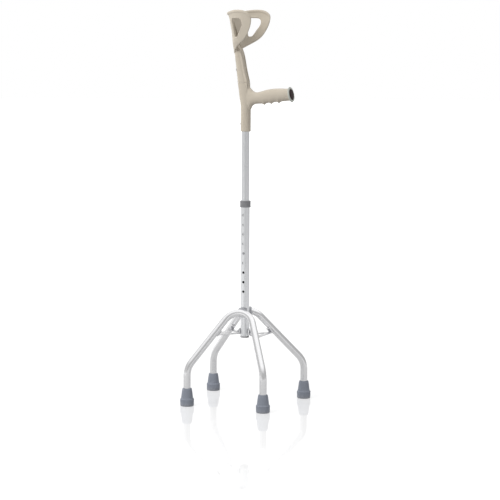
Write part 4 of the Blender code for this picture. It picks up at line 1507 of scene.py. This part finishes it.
def floor_surface(nodes, camera_ray, glossy):
    """Matt white paint, with a thin polish that mirrors the tips for the camera."""
    seen = (camera_ray + glossy).clamped()
    albedo = FLOOR_ALBEDO + seen * (FLOOR_SEEN_ALBEDO - FLOOR_ALBEDO)
    tone = nodes.add("CombineColor", None, {"Red": albedo, "Green": albedo, "Blue": albedo})
    paint = nodes.add("BsdfDiffuse", None, {"Color": tone})
    polish = nodes.add("BsdfAnisotropic", None, {"Roughness": GLOSS_ROUGHNESS, "Color": (1, 1, 1, 1)})
    return nodes.add("MixShader", None, {0: camera_ray * FLOOR_GLOSS, 1: paint, 2: polish})


def floor_glow(nodes, camera_ray, glossy):
    """What the sweep adds: white away from the feet, and the surround's tones to a mirror."""
    place = nodes.add("TexCoord", output="Object")
    away = nodes.add("VectorMath", {"operation": "LENGTH"}, {0: place}, output=1)
    spread = nodes.ramp(away / 6, [(0.05, 0.0), (0.60, 1.0)])
    white = FLOOR_GLOW + spread * (FAR_GLOW - FLOOR_GLOW)
    distant = nodes.ramp(away / 2, [(0.25, 0.0), (0.60, 1.0)])
    mirrored = NEAR_MIRROR * (1 - distant) + surround(nodes, place) * distant
    strength = camera_ray * white + glossy * mirrored
    return nodes.add("Emission", None, {"Color": (1, 1, 1, 1), "Strength": strength})


def make_floor():
    floor = begin("floor", bpy.ops.mesh.primitive_circle_add, vertices=128, radius=FLOOR_RADIUS,
                  fill_type="NGON", location=(0, 0, -FLOOR_DROP))
    settle(floor)
    material = bpy.data.materials.new("white_sweep")
    material.use_nodes = True
    nodes = Nodes(material.node_tree)
    material.node_tree.nodes.remove(material.node_tree.nodes["Principled BSDF"])
    rays = nodes.ray("Camera"), nodes.ray("Glossy")
    total = nodes.add("AddShader", None, {0: floor_surface(nodes, *rays), 1: floor_glow(nodes, *rays)})
    connect(material.node_tree.nodes["Material Output"].inputs["Surface"], total)
    floor.data.materials.append(material)
    print("floor", FLOOR_RADIUS * 2, "m across, with", len(material.node_tree.nodes), "nodes")


make_floor()

# %% Lamps
AIM_HEIGHT = 0.5


def soft_light(name, place, aim, size, power):
    data = bpy.data.lights.new(name, "AREA")
    data.shape = "RECTANGLE"
    data.size, data.size_y = size
    data.energy = power
    lamp = bpy.data.objects.new(name, data)
    bpy.context.scene.collection.objects.link(lamp)
    lamp.location = place
    lamp.rotation_euler = (Vector(aim) - Vector(place)).to_track_quat("-Z", "Y").to_euler()
    lamp.visible_glossy = False
    print(f"{name}: {power} W, {size[0]} by {size[1]} m")


aim = POLE + UP * AIM_HEIGHT
soft_light("key", POLE - level * 1.6 - right * 2.0 + UP * 2.2, aim, (1.4, 1.8), 62)
soft_light("fill", POLE - level * 1.2 + right * 2.4 + UP * 1.2, aim, (1.2, 1.8), 15)
soft_light("top", POLE + level * 0.6 + UP * 3.0, aim, (2.0, 2.0), 19)
soft_light("edge", POLE + level * 1.4 - right * 2.2 + UP * 1.4, aim, (0.8, 1.8), 18)

# %% Colour settings
bpy.context.scene.view_settings.view_transform = "Standard"
